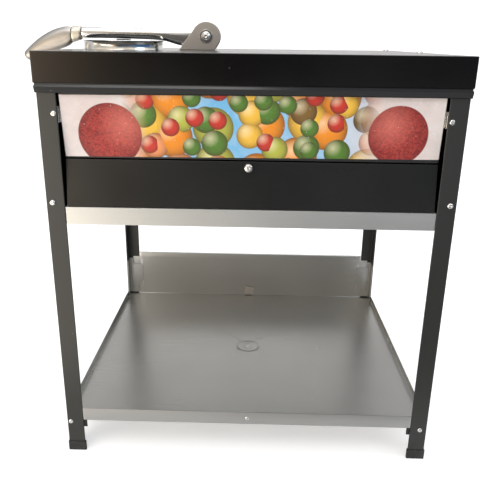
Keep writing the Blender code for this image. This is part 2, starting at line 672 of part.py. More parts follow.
def build_bracket(steel, bright, parent):
    base_low = TOP_HEIGHT + GAP
    base_high = base_low + BASE_THICKNESS
    drop = base_low - PIVOT_Z
    reach = BRACKET_LEFT - PIVOT_X
    distance = math.hypot(reach, drop)
    tangent = math.atan2(drop, reach) - math.acos(EAR_RADIUS / distance)
    right = -math.pi / 4
    steps = 18
    start = tangent % math.tau
    outline = [(BRACKET_LEFT, base_low)]
    for i in range(steps + 1):
        angle = start + (right - start) * i / steps
        outline.append((PIVOT_X + EAR_RADIUS * math.cos(angle), PIVOT_Z + EAR_RADIUS * math.sin(angle)))
    outline.append((BRACKET_RIGHT, base_low))
    front = LEVER_Y - BRACKET_HALF_WIDTH
    rear = LEVER_Y + BRACKET_HALF_WIDTH
    bracket = add_object("lever_bracket", prism(outline, "Y", front, rear), steel, parent)
    slot = box((BRACKET_LEFT - 10 * MM, LEVER_Y - FORK_HALF_WIDTH, base_high),
               (PIVOT_X + EAR_RADIUS + 10 * MM, LEVER_Y + FORK_HALF_WIDTH, PIVOT_Z + EAR_RADIUS + 10 * MM))
    boolean(bracket, slot, "DIFFERENCE", parent)
    holes = rod(PIVOT_RADIUS + GAP, (PIVOT_X, front - 5 * MM, PIVOT_Z), rear - front + 10 * MM, "Y", 20)
    for place in bracket_bolt_places():
        add_rod(holes, BOLT_HOLE, (*place, base_low - 5 * MM), 15 * MM, "Z", 12)
    boolean(bracket, holes, "DIFFERENCE", parent)

    under = TOP_HEIGHT - SHEET - GAP
    plate = box((BACKING_LEFT, LEVER_Y - BACKING_HALF_WIDTH, under - FLANGE_SHEET),
                (BACKING_RIGHT, LEVER_Y + BACKING_HALF_WIDTH, under))
    backing = add_object("bracket_backing_plate", plate, steel, parent)
    drill = bmesh.new()
    head = under - FLANGE_SHEET - GAP
    length = base_high - head
    profile = [(0, -BOLT_HEAD_HEIGHT), (BOLT_HEAD, -BOLT_HEAD_HEIGHT), (BOLT_HEAD, 0), (BOLT_SHANK, 0),
               (BOLT_SHANK, length), (0, length)]
    for place, end in zip(bracket_bolt_places(), ("left", "right")):
        add_rod(drill, BOLT_HOLE, (*place, under - 10 * MM), 20 * MM, "Z", 12)
        add_object(f"bracket_bolt_{end}", turned(profile, (*place, head), "Z", 12), bright, parent)
    boolean(backing, drill, "DIFFERENCE", parent)

    thickness = PIVOT_WASHER_THICKNESS
    inner = PIVOT_RADIUS + GAP
    ring = [(inner, 0), (PIVOT_WASHER, 0), (PIVOT_WASHER, thickness), (inner, thickness)]
    washer = turned(ring, (PIVOT_X, front - GAP, PIVOT_Z), "-Y", 24)
    add_object("pivot_washer_front", washer, bright, parent, 30)
    washer = turned(ring, (PIVOT_X, rear + GAP, PIVOT_Z), "Y", 24)
    add_object("pivot_washer_rear", washer, bright, parent, 30)
    head_y = front - GAP - thickness - GAP
    end_y = rear + GAP + thickness + GAP
    length = end_y - head_y
    edge = 1.5 * MM
    profile = [(0, -PIVOT_HEAD_HEIGHT), (PIVOT_HEAD - edge, -PIVOT_HEAD_HEIGHT),
               (PIVOT_HEAD, edge - PIVOT_HEAD_HEIGHT), (PIVOT_HEAD, 0), (PIVOT_RADIUS, 0),
               (PIVOT_RADIUS, length + THREAD_END), (0, length + THREAD_END)]
    add_object("pivot_bolt", turned(profile, (PIVOT_X, head_y, PIVOT_Z), "Y", 20), bright, parent, 35)
    hexagon = rod(PIVOT_NUT, (PIVOT_X, end_y, PIVOT_Z), PIVOT_NUT_HEIGHT, "Y", 6)
    nut = add_object("pivot_nut", hexagon, bright, parent)
    thread = rod(inner, (PIVOT_X, end_y - 2 * MM, PIVOT_Z), PIVOT_NUT_HEIGHT + 4 * MM, "Y", 20)
    boolean(nut, thread, "DIFFERENCE", parent)


def rounded_section(half_width, half_height, squareness, count):
    """Points of a softly squared oval, in width and height."""
    points = []
    for i in range(count):
        angle = math.tau * (i + 0.5) / count
        c, s = math.cos(angle), math.sin(angle)
        points.append((half_width * math.copysign(abs(c) ** (2 / squareness), c),
                       half_height * math.copysign(abs(s) ** (2 / squareness), s)))
    return points


def add_lofted_bar(bm, stations, squareness, count=14):
    """A bar through stations of (x, z, half height, half width, slope), in the lever's own plane."""
    rings = []
    for x, z, half_height, half_width, slope in stations:
        ring = []
        for across, up in rounded_section(half_width, half_height, squareness, count):
            ring.append(bm.verts.new((x - up * math.sin(slope), LEVER_Y + across, z + up * math.cos(slope))))
        rings.append(ring)
    for a, b in zip(rings, rings[1:]):
        for i in range(count):
            j = (i + 1) % count
            bm.faces.new((a[i], a[j], b[j], b[i]))
    bm.faces.new(rings[0])
    bm.faces.new(rings[-1])
    bmesh.ops.recalc_face_normals(bm, faces=bm.faces)


def grip_stations():
    """The grip bends down at a steady rate past the table's edge, swells, tapers and is rounded off."""
    steps = 9
    first, last = (math.radians(angle) for angle in GRIP_SLOPES)
    x = ARM_END - COLLAR_BAND - 2 * GAP
    z = TOP_HEIGHT + GRIP_START_RISE
    stations = []
    for i in range(steps + 1):
        share = i / steps
        half_height = GRIP_NECK + GRIP_SWELL * math.sin(math.pi * share ** 0.6) - GRIP_TAPER * share ** 2
        slope = first + (last - first) * share
        stations.append((x, z, half_height, GRIP_HALF_WIDTH, slope * min(1, 4 * share)))
        x -= GRIP_LENGTH / steps * math.cos(slope)
        z -= GRIP_LENGTH / steps * math.sin(slope)
    x, z, half_height, half_width, slope = stations[-1]
    for reach, shrink in ((4 * MM, 0.92), (8 * MM, 0.7), (10 * MM, 0.35)):
        stations.append((x - reach * math.cos(slope), z - reach * math.sin(slope), half_height * shrink,
                         half_width * shrink, slope))
    return stations


def build_lever(aluminium, steel, bright, pivot):
    table = TOP_HEIGHT
    stations = [(x * MM, table + z * MM, high * MM, wide * MM, 0) for x, z, high, wide in ARM_STATIONS]
    stations.append((ARM_END, table + ARM_END_RISE, ARM_END_HALF_HEIGHT, ARM_END_HALF_WIDTH, 0))
    bm = bmesh.new()
    add_lofted_bar(bm, stations, 3.0)
    arm = add_object("lever_arm", bm, aluminium, pivot, 40)
    boss = rod(BOSS_RADIUS, (PIVOT_X, LEVER_Y - BOSS_HALF_WIDTH, PIVOT_Z), 2 * BOSS_HALF_WIDTH, "Y", 32)
    boolean(arm, boss, "UNION", pivot)
    bore = rod(BUSH_RADIUS + GAP, (PIVOT_X, LEVER_Y - DRILL / 2, PIVOT_Z), DRILL, "Y", 24)
    boolean(arm, bore, "DIFFERENCE", pivot)

    inner = PIVOT_RADIUS + GAP
    length = 2 * FORK_HALF_WIDTH - 2 * GAP
    sleeve = [(inner, 0), (BUSH_RADIUS, 0), (BUSH_RADIUS, length), (inner, length)]
    bush_start = (PIVOT_X, LEVER_Y - length / 2, PIVOT_Z)
    add_object("pivot_bush", turned(sleeve, bush_start, "Y", 24), steel, pivot, 30)

    band = bmesh.new()
    start = ARM_END - GAP
    stations = [(start - along * MM, table + rise * MM, high * MM, wide * MM, 0)
                for along, rise, high, wide in COLLAR_STATIONS]
    add_lofted_bar(band, stations, 2.6)
    add_object("lever_collar", band, bright, pivot, 40)
    bm = bmesh.new()
    add_lofted_bar(bm, grip_stations(), 2.8)
    add_object("lever_grip", bm, aluminium, pivot, 40)

    top = table + YOKE_TOP - GAP
    web = top - YOKE_WEB
    pin_z = table + PIN_RISE
    low = pin_z - LUG_ROUND
    half = [(YOKE_HALF_WIDTH, top), (YOKE_HALF_WIDTH, low), (YOKE_SLOT, low), (YOKE_SLOT, web)]
    outline = [(LEVER_Y + a, b) for a, b in half] + [(LEVER_Y - a, b) for a, b in reversed(half)]
    bm = prism(outline, "X", HOPPER_X - YOKE_HALF_LENGTH, HOPPER_X + YOKE_HALF_LENGTH)
    yoke = add_object("press_yoke", bm, aluminium, pivot)
    hole = rod(PIN_RADIUS + GAP, (HOPPER_X, LEVER_Y - DRILL / 2, pin_z), DRILL, "Y", 16)
    boolean(yoke, hole, "DIFFERENCE", pivot)
    pin = rod(PIN_RADIUS, (HOPPER_X, LEVER_Y - PIN_LENGTH / 2, pin_z), PIN_LENGTH, "Y", 16)
    add_object("press_pin", pin, bright, pivot, 30)


def build_press(aluminium, press):
    """The round plate with its spikes, and the lug on it that hangs on the pin."""
    table = TOP_HEIGHT
    plate_high = -PLATE_DROP + PLATE_THICKNESS
    edge = 1.5 * MM
    disc = [(0, -PLATE_DROP), (PLATE_RADIUS - edge, -PLATE_DROP), (PLATE_RADIUS, -PLATE_DROP + edge),
            (PLATE_RADIUS, plate_high), (0, plate_high)]
    plate = add_object("press_plate", turned(disc, (HOPPER_X, LEVER_Y, table)), aluminium, press, 30)
    spikes = bmesh.new()
    for row in range(SPIKE_ROWS):
        offset = (row - (SPIKE_ROWS - 1) / 2) * BLADE_PITCH
        count = 5 if abs(offset) < 30 * MM else 3
        for i in range(count):
            x = HOPPER_X + (i - (count - 1) / 2) * SPIKE_PITCH
            cone = [(0, 1 * MM), (SPIKE_RADIUS, 1 * MM), (1 * MM, -SPIKE_LENGTH), (0, -SPIKE_LENGTH)]
            add_turned(spikes, cone, (x, LEVER_Y + offset, table - PLATE_DROP), "Z", 6)
    boolean(plate, spikes, "UNION", press)

    foot = table + plate_high + GAP
    pin_z = table + PIN_RISE
    outline = [(HOPPER_X - LUG_FOOT, foot), (HOPPER_X + LUG_FOOT, foot)]
    steps = 8
    for i in range(steps + 1):
        angle = math.radians(10 + 160 * i / steps)
        outline.append((HOPPER_X + LUG_ROUND * math.cos(angle), pin_z + LUG_ROUND * math.sin(angle)))
    bm = prism(outline, "Y", LEVER_Y - LUG_HALF_WIDTH, LEVER_Y + LUG_HALF_WIDTH)
    lug = add_object("press_lug", bm, aluminium, press)
    hole = rod(PIN_RADIUS + GAP, (HOPPER_X, LEVER_Y - DRILL / 2, pin_z), DRILL, "Y", 16)
    boolean(lug, hole, "DIFFERENCE", press)


def main():
    clear_scene()
    black = finish("black_paint", (0.03, 0.03, 0.028), 0.42, 0.0)
    plastic = finish("black_plastic", (0.02, 0.02, 0.02), 0.5, 0.0)
    steel = finish("stainless", (0.55, 0.56, 0.56), 0.35, 1.0)
    bright = finish("bright_plating", (0.8, 0.8, 0.79), 0.15, 1.0)
    aluminium = finish("polished_aluminium", (0.78, 0.78, 0.76), 0.2, 1.0)
    print_mat = finish("fruit_print", (0.8, 0.35, 0.2), 0.3, 0.0)

    middle_x = (TOP_HALF_WIDTH - GRIP_REACH) / 2
    origin = empty("table_origin", (-middle_x, -FRAME_DEPTH / 2, 0))
    slide = empty("drawer_slide", (0, DRAWER_FRONT_Y, RAIL_LEDGE), origin)
    pivot = empty("lever_pivot", (PIVOT_X, LEVER_Y, PIVOT_Z), origin)
    swing = Vector((HOPPER_X - PIVOT_X, 0, TOP_HEIGHT + PIN_RISE - PIVOT_Z))
    press = empty("press_swivel", swing, pivot)

    build_legs(black, plastic, origin)
    build_table_top(black, origin)
    build_front(black, print_mat, bright, origin)
    build_panels(black, origin)
    build_drip_pan(steel, origin)
    build_drawer(black, steel, bright, origin, slide)
    build_tray(steel, black, bright, origin)
    build_leg_fasteners(bright, origin)
    build_hopper(bright, steel, origin)
    build_bracket(steel, bright, origin)
    build_lever(aluminium, steel, bright, pivot)
    build_press(aluminium, press)


main()
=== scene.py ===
import math

import bmesh
import bpy
from mathutils import Matrix, Vector


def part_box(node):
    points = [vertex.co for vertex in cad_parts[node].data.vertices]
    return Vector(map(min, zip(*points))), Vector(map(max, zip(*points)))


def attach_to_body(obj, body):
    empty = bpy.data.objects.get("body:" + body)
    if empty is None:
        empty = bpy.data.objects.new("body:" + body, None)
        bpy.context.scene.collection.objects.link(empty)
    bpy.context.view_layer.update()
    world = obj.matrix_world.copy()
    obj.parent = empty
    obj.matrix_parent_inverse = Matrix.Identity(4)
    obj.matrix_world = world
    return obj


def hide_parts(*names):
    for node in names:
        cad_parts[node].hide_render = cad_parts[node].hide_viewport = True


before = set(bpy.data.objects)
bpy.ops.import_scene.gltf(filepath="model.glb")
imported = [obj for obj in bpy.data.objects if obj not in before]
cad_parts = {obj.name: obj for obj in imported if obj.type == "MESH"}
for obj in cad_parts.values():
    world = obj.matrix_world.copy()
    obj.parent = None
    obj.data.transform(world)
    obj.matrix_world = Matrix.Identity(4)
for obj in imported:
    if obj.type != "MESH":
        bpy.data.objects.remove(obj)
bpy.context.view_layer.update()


# Camera. It stands just above the height of the work top, straight in front of the table, so the top is
# seen almost edge-on and the shelf from above. The picture is 500 x 478 pixels, tipped down to the right.
CAMERA_PLACE = (0.0625, -1.2797, 0.7769)
CAMERA_YAW = math.radians(1.213)
CAMERA_PITCH = math.radians(18.666)
CAMERA_ROLL = math.radians(0.722)
camera_data = bpy.data.cameras.new("camera")
camera_data.sensor_width = 36
camera_data.lens = 42.195
camera_data.shift_x = 0.0206
camera_data.shift_y = 0.0017
camera = bpy.data.objects.new("camera", camera_data)
bpy.context.scene.collection.objects.link(camera)
camera.matrix_world = (Matrix.Translation(CAMERA_PLACE)
                       @ Matrix.Rotation(CAMERA_YAW, 4, "Z")
                       @ Matrix.Rotation(math.pi / 2 - CAMERA_PITCH, 4, "X")
                       @ Matrix.Rotation(CAMERA_ROLL, 4, "Z"))
bpy.context.scene.camera = camera
bpy.context.scene.view_settings.view_transform = "Standard"


# Studio. A pale floor that sweeps up behind the object, which metal and paint mirror warm in front at the
# left and dark elsewhere, a sky with a striped horizon, and four area lamps: left, front, right and above.
def add_node(tree, kind, sockets=None, **attributes):
    """Add a shader node, set its attributes, and set or link its inputs by name or number."""
    node = tree.nodes.new(kind)
    for name, value in attributes.items():
        setattr(node, name, value)
    for name, value in (sockets or {}).items():
        if isinstance(value, bpy.types.NodeSocket):
            tree.links.new(value, node.inputs[name])
        else:
            node.inputs[name].default_value = value
    return node


def new_material(name, colour, roughness, metallic):
    material = bpy.data.materials.new(name)
    material.use_nodes = True
    shader = material.node_tree.nodes["Principled BSDF"]
    shader.inputs["Base Color"].default_value = (*colour, 1)
    shader.inputs["Roughness"].default_value = roughness
    shader.inputs["Metallic"].default_value = metallic
    return material, material.node_tree, shader


def new_piece(name, bm, material, smooth=30):
    """Turn a finished bmesh into an object, with edges sharper than an angle left sharp."""
    mesh = bpy.data.meshes.new(name)
    bm.to_mesh(mesh)
    bm.free()
    mesh.shade_smooth()
    mesh.set_sharp_from_angle(angle=math.radians(smooth))
    mesh.materials.append(material)
    piece = bpy.data.objects.new(name, mesh)
    bpy.context.scene.collection.objects.link(piece)
    return piece


def moved_verts(result):
    """The vertices that an extrusion made."""
    return [part for part in result["geom"] if isinstance(part, bmesh.types.BMVert)]


def moved_edges(result):
    """The edges at the far end of an extrusion of edges."""
    fresh = set(moved_verts(result))
    edges = [part for part in result["geom"] if isinstance(part, bmesh.types.BMEdge)]
    return [edge for edge in edges if set(edge.verts) <= fresh]


def blend_colours(tree, share, first, second):
    mix = add_node(tree, "ShaderNodeMix", {0: share, 6: first, 7: second}, data_type="RGBA")
    return mix.outputs[2]


def spread(tree, value, low, high, start=0.0, end=1.0):
    """Map a value's stretch from start to end onto low to high."""
    sockets = {"Value": value, "From Min": start, "From Max": end, "To Min": low, "To Max": high}
    return add_node(tree, "ShaderNodeMapRange", sockets).outputs["Result"]


def calculate(tree, operation, first, second=0.0):
    return add_node(tree, "ShaderNodeMath", {0: first, 1: second}, operation=operation).outputs[0]


SWEEP_RADIUS = 1.4
FLOOR_BACK = 1.7
FLOOR_REACH = 7
BACKDROP_RISE = 3
FLOOR_GLOW = (0.45, 0.45, 0.45, 1)
FLOOR_PAINT, FLOOR_SHADE = (0.84, 0.84, 0.84, 1), (0.08, 0.08, 0.08, 1)
FAR_MIRRORED, NEAR_MIRRORED = (0.20, 0.18, 0.15, 1), (3.4, 3.05, 2.6, 1)
floor_mat, tree, shader = new_material("floor_paint", (0.84, 0.84, 0.84), 0.6, 0.0)
path = add_node(tree, "ShaderNodeLightPath").outputs
# To mirror rays only, the floor glows warm and bright in front at the left and dim further off, and its paint
# is darkened there: a painted reflection of bright ground, not a lamp.
mirrored = calculate(tree, "MAXIMUM", path["Is Glossy Ray"], path["Is Transmission Ray"])
spot = add_node(tree, "ShaderNodeSeparateXYZ", {0: add_node(tree, "ShaderNodeTexCoord").outputs["Object"]})
at_left = spread(tree, spot.outputs["X"], 0.0, 1.0, 0.2, -1.0)
in_front = spread(tree, spot.outputs["Y"], 0.0, 1.0, -0.42, -0.62)
near = calculate(tree, "MULTIPLY", spread(tree, spot.outputs["Y"], 0.0, 1.0, -1.8, -1.3), in_front)
warm_glow = blend_colours(tree, near, FAR_MIRRORED, NEAR_MIRRORED)
side_glow = blend_colours(tree, calculate(tree, "MULTIPLY", at_left, in_front), (0, 0, 0, 1), warm_glow)
glow = blend_colours(tree, mirrored, (0, 0, 0, 1), side_glow)
shaded = blend_colours(tree, calculate(tree, "MULTIPLY", mirrored, near), FLOOR_PAINT, FLOOR_SHADE)
tree.links.new(shaded, shader.inputs["Base Color"])
glow = blend_colours(tree, path["Is Camera Ray"], glow, FLOOR_GLOW)
tree.links.new(glow, shader.inputs["Emission Color"])
shader.inputs["Emission Strength"].default_value = 1.0
bm = bmesh.new()
ends = [bm.verts.new((x, -FLOOR_REACH, 0)) for x in (FLOOR_REACH, -FLOOR_REACH)]
line = [bm.edges.new(ends)]
for step in ((0, FLOOR_REACH + FLOOR_BACK, 0), None, (0, 0, BACKDROP_RISE)):
    if step:
        grown = bmesh.ops.extrude_edge_only(bm, edges=line)
        bmesh.ops.translate(bm, verts=moved_verts(grown), vec=step)
        line = moved_edges(grown)
    else:
        turn = bmesh.ops.spin(bm, geom=line, cent=(0, FLOOR_BACK, SWEEP_RADIUS), axis=(1, 0, 0),
                              angle=math.pi / 2, steps=24)
        line = [part for part in turn["geom_last"] if isinstance(part, bmesh.types.BMEdge)]
floor = new_piece("floor", bm, floor_mat, 60)

world = bpy.data.worlds.new("sky")
bpy.context.scene.world = world
world.use_nodes = True
tree = world.node_tree
BACK_LEVEL, BACK_SCREEN, UPPER_SKY = (0.50, 0.52, 0.54, 1), (0.52, 0.54, 0.57, 1), (0.60, 0.64, 0.70, 1)
LEFT_SCREEN, RIGHT_SCREEN, HIGH_SCREEN = (0.66, 0.64, 0.60, 1), (0.20, 0.26, 0.32, 1), (1.0, 0.88, 0.74, 1)
direction = add_node(tree, "ShaderNodeTexCoord").outputs["Generated"]
split = add_node(tree, "ShaderNodeSeparateXYZ", {0: direction})
horizon = tree.nodes.new("ShaderNodeValToRGB")
tree.links.new(spread(tree, split.outputs["X"], 0.0, 1.0, -1.0, 1.0), horizon.inputs[0])
HORIZON = ((0.0, (0.80, 0.72, 0.62)), (0.10, (0.55, 0.46, 0.38)), (0.20, (1.20, 1.10, 0.98)),
           (0.29, (2.20, 1.70, 1.15)), (0.345, (1.10, 0.82, 0.56)), (0.40, (0.08, 0.065, 0.055)),
           (0.52, (0.03, 0.03, 0.03)), (0.60, (0.14, 0.14, 0.15)), (0.68, (0.08, 0.09, 0.11)),
           (0.80, (0.20, 0.24, 0.28)), (0.845, (0.02, 0.20, 0.50)), (1.0, (0.03, 0.12, 0.34)))
while len(horizon.color_ramp.elements) < len(HORIZON):
    horizon.color_ramp.elements.new(1.0)
for i, (position, colour) in enumerate(HORIZON):
    horizon.color_ramp.elements[i].position = position
    horizon.color_ramp.elements[i].color = (*colour, 1)
behind = spread(tree, split.outputs["Y"], 0.0, 1.0, 0.0, 0.25)
level = blend_colours(tree, behind, horizon.outputs[0], BACK_LEVEL)
at_right = spread(tree, split.outputs["X"], 0.0, 1.0, -0.19, -0.09)
low_screen = blend_colours(tree, at_right, LEFT_SCREEN, RIGHT_SCREEN)
up = split.outputs["Z"]
front_screen = blend_colours(tree, spread(tree, up, 0.0, 1.0, 0.28, 0.33), low_screen, HIGH_SCREEN)
screen = blend_colours(tree, behind, front_screen, BACK_SCREEN)
lower = blend_colours(tree, spread(tree, up, 0.0, 1.0, 0.10, 0.16), level, screen)
sky = blend_colours(tree, spread(tree, up, 0.0, 1.0, 0.50, 0.62), lower, UPPER_SKY)
path = add_node(tree, "ShaderNodeLightPath").outputs
background = tree.nodes["Background"]
tree.links.new(blend_colours(tree, path["Is Camera Ray"], sky, (1, 1, 1, 1)), background.inputs["Color"])
background.inputs["Strength"].default_value = 1.0

for name, place, aim, wide, tall, power, colour in (
        ("window_left", (-1.5, -1.6, 0.42), (-0.1, -0.3, 0.5), 1.2, 0.6, 14, (1.0, 0.86, 0.70)),
        ("window_front", (-0.9, -2.2, 3.2), (0.0, 0.0, 0.5), 2.4, 1.4, 36, (1.0, 0.98, 0.95)),
        ("window_right", (2.4, -1.4, 2.2), (0.0, 0.0, 0.4), 1.4, 1.4, 12, (0.82, 0.91, 1.0)),
        ("overhead", (0.2, 0.4, 3.0), (0.0, 0.1, 0.0), 2.6, 2.6, 40, (1.0, 1.0, 1.0))):
    lamp = bpy.data.lights.new(name, "AREA")
    lamp.shape = "RECTANGLE"
    lamp.size = wide
    lamp.size_y = tall
    lamp.energy = power
    lamp.color = colour
    light = bpy.data.objects.new(name, lamp)
    light.visible_camera = False
    bpy.context.scene.collection.objects.link(light)
    view = Vector(aim) - Vector(place)
    light.matrix_world = Matrix.Translation(place) @ view.to_track_quat("-Z", "Y").to_matrix().to_4x4()


# Legs. Four posts of hot-rolled steel angle with a rounded heel and toes, sprayed with semi-gloss black.
# Their webs face the front and the back of the table, and everything else hangs on them.
def new_group(name, inputs, output):
    """A shader node group with float or vector inputs and one output."""
    tree = bpy.data.node_groups.new(name, "ShaderNodeTree")
    for label, value in inputs.items():
        kind = "NodeSocketFloat" if isinstance(value, float) else "NodeSocketVector"
        socket = tree.interface.new_socket(name=label, in_out="INPUT", socket_type=kind)
        socket.default_value = value
    tree.interface.new_socket(name=output, in_out="OUTPUT", socket_type="NodeSocketFloat")
    return tree, tree.nodes.new("NodeGroupInput").outputs, tree.nodes.new("NodeGroupOutput").inputs


def vector_math(tree, operation, first, second=(0, 0, 0), output="Vector"):
    return add_node(tree, "ShaderNodeVectorMath", {0: first, 1: second}, operation=operation).outputs[output]


marks_group, given, result = new_group(
    "marks", {"Scale": 10.0, "Stretch": (1, 1, 1), "Low": 0.35, "High": 0.65, "Detail": 4.0}, "Mask")
coords = add_node(marks_group, "ShaderNodeTexCoord").outputs["Object"]
stretched = vector_math(marks_group, "MULTIPLY", coords, given["Stretch"])
noise = add_node(marks_group, "ShaderNodeTexNoise",
                 {"Vector": stretched, "Scale": given["Scale"], "Detail": given["Detail"], "Roughness": 0.5})
mask = spread(marks_group, noise.outputs[0], 0.0, 1.0, given["Low"], given["High"])
marks_group.links.new(mask, result["Mask"])

specks_group, given, result = new_group("specks", {"Scale": 60.0, "Size": 0.1, "Share": 0.2}, "Mask")
coords = add_node(specks_group, "ShaderNodeTexCoord").outputs["Object"]
cells = add_node(specks_group, "ShaderNodeTexVoronoi", {"Vector": coords, "Scale": given["Scale"]})
near = calculate(specks_group, "LESS_THAN", cells.outputs["Distance"], given["Size"])
pick = add_node(specks_group, "ShaderNodeSeparateColor", {0: cells.outputs["Color"]})
chosen = calculate(specks_group, "LESS_THAN", pick.outputs[0], given["Share"])
specks_group.links.new(calculate(specks_group, "MULTIPLY", near, chosen), result["Mask"])


def grouped(tree, group, sockets):
    """Use a node group with its inputs set, and give back its mask."""
    node = tree.nodes.new("ShaderNodeGroup")
    node.node_tree = group
    for name, value in sockets.items():
        node.inputs[name].default_value = value
    return node.outputs["Mask"]


def marks(tree, scale, stretch=(1, 1, 1), low=0.35, high=0.65, detail=4.0):
    sockets = {"Scale": scale, "Stretch": stretch, "Low": low, "High": high, "Detail": detail}
    return grouped(tree, marks_group, sockets)


def specks(tree, scale, size, share):
    return grouped(tree, specks_group, {"Scale": scale, "Size": size, "Share": share})


def bump(tree, shader, height, distance):
    node = add_node(tree, "ShaderNodeBump", {"Height": height, "Distance": distance, "Strength": 1.0})
    tree.links.new(node.outputs["Normal"], shader.inputs["Normal"])


def black_paint(name, colour, dusty, gloss):
    """Sprayed black: faint orange peel, cloudy dust and a few tiny chips down to pale primer."""
    material, tree, shader = new_material(name, colour, gloss, 0.0)
    dust = marks(tree, 3.0, low=0.15, high=0.85, detail=1.0)
    worn = blend_colours(tree, dust, (*colour, 1), (*dusty, 1))
    chips = specks(tree, 90.0, 0.07, 0.012)
    tree.links.new(blend_colours(tree, chips, worn, (0.22, 0.21, 0.20, 1)), shader.inputs["Base Color"])
    smears = marks(tree, 9.0, low=0.1, high=0.9, detail=2.0)
    tree.links.new(spread(tree, smears, gloss - 0.05, gloss + 0.05), shader.inputs["Roughness"])
    bump(tree, shader, marks(tree, 600.0, low=0.1, high=0.9, detail=1.0), 0.00004)
    return material


def round_edges(bm, edges, width, segments):
    bmesh.ops.bevel(bm, geom=list(edges), offset=width, offset_type="OFFSET", segments=segments,
                    profile=0.5, affect="EDGES", clamp_overlap=True, material=-1)


def even_shading(piece):
    """Keep large flat faces flat between their rounded edges."""
    shading = piece.modifiers.new("Even shading", "WEIGHTED_NORMAL")
    shading.keep_sharp = True


def attach(piece, body, node):
    """Let a piece ride on its body and put it in the place of its node."""
    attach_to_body(piece, body)
    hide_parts(node)


def angle_post(low, high, side, end, wall):
    """An upright of L section that fills a box, with its heel at one corner of the table."""
    wide = high.x - low.x
    deep = high.y - low.y
    heel_x = low.x if side < 0 else high.x
    heel_y = high.y if end else low.y
    into_y = -1 if end else 1
    steps = ((0, 0), (wide, 0), (wide, wall), (wall, wall), (wall, deep), (0, deep))
    bm = bmesh.new()
    face = bm.faces.new([bm.verts.new((heel_x - side * a, heel_y + into_y * b, low.z)) for a, b in steps])
    grown = bmesh.ops.extrude_face_region(bm, geom=[face])
    bmesh.ops.translate(bm, verts=moved_verts(grown), vec=(0, 0, high.z - low.z))
    bmesh.ops.recalc_face_normals(bm, faces=bm.faces)
    return bm


TINY = 0.00001


def upright_edges(bm, inside=False):
    """Vertical edges, either those where the section turns outwards or the one inside the angle."""
    found = []
    for edge in bm.edges:
        a, b = edge.verts
        if abs(a.co.z - b.co.z) > 0.005 and (a.co - b.co).xy.length < TINY:
            if edge.is_convex != inside:
                found.append(edge)
    return found


LEG_WALL = 0.0032
LEG_ROOT, LEG_TOE = 0.0024, 0.0012
leg_paint = black_paint("leg_black", (0.016, 0.0175, 0.016), (0.026, 0.027, 0.025), 0.40)
CORNERS = [(side, hand, end, depth) for side, hand in ((-1, "left"), (1, "right"))
           for end, depth in ((0, "front"), (1, "rear"))]
for side, hand, end, depth in CORNERS:
    node = f"leg_{depth}_{hand}"
    bm = angle_post(*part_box(node), side, end, LEG_WALL)
    round_edges(bm, upright_edges(bm, inside=True), LEG_ROOT, 4)
    round_edges(bm, upright_edges(bm), LEG_TOE, 3)
    leg = new_piece(f"{node}_angle", bm, leg_paint)
    even_shading(leg)
    attach(leg, "table", node)


# Foot caps. Moulded black polyethylene shoes of the same L section, pushed over the ends of the legs.
# The floor has scuffed them, and their rim stands 1.6 mm proud of the steel all round.
CAP_WALL = 0.0013
CAP_DEPTH = 0.0168
CAP_PROUD = 0.0016
CAP_LIP = 0.0006
cap_mat, tree, shader = new_material("cap_plastic", (0.017, 0.017, 0.017), 0.5, 0.0)
scuffs = marks(tree, 120.0, low=0.45, high=0.75)
tree.links.new(blend_colours(tree, scuffs, (0.012, 0.012, 0.012, 1), (0.045, 0.043, 0.04, 1)),
               shader.inputs["Base Color"])
tree.links.new(spread(tree, scuffs, 0.42, 0.62), shader.inputs["Roughness"])
bump(tree, shader, marks(tree, 1500.0), 0.00005)
for side, hand, end, depth in CORNERS:
    node = f"foot_cap_{depth}_{hand}"
    low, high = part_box(node)
    bm = angle_post(low, high, side, end, LEG_WALL + 2 * CAP_PROUD)
    round_edges(bm, upright_edges(bm, inside=True), 0.001, 2)
    round_edges(bm, upright_edges(bm), 0.0018, 4)
    lids = [face for face in bm.faces if abs(face.normal.z) > 0.9]
    rims = {edge for face in lids for edge in face.edges}
    round_edges(bm, rims, CAP_LIP, 2)
    top = max((face for face in bm.faces if face.normal.z > 0.99), key=lambda face: face.calc_area())
    bmesh.ops.inset_region(bm, faces=[top], thickness=CAP_WALL - CAP_LIP, use_even_offset=True)
    sunk = bmesh.ops.extrude_face_region(bm, geom=[top])
    bmesh.ops.translate(bm, verts=moved_verts(sunk), vec=(0, 0, -CAP_DEPTH))
    cap = new_piece(f"{node}_shoe", bm, cap_mat)
    even_shading(cap)
    attach(cap, "table", node)


# Table top. One sheet of 1.5 mm steel, folded down into a 50 mm apron and stepped back at its foot into a
# narrow band that slopes to the legs. It has a hole for the collar, and is painted black.
def sharp_edges(bm, degrees):
    return [edge for edge in bm.edges if edge.is_manifold and edge.calc_face_angle() > math.radians(degrees)]


def thicken(piece, sheet):
    """Give a bent surface the thickness of its sheet."""
    wall = piece.modifiers.new("Sheet thickness", "SOLIDIFY")
    wall.thickness = sheet
    wall.offset = -1
    wall.use_even_offset = True
    even_shading(piece)


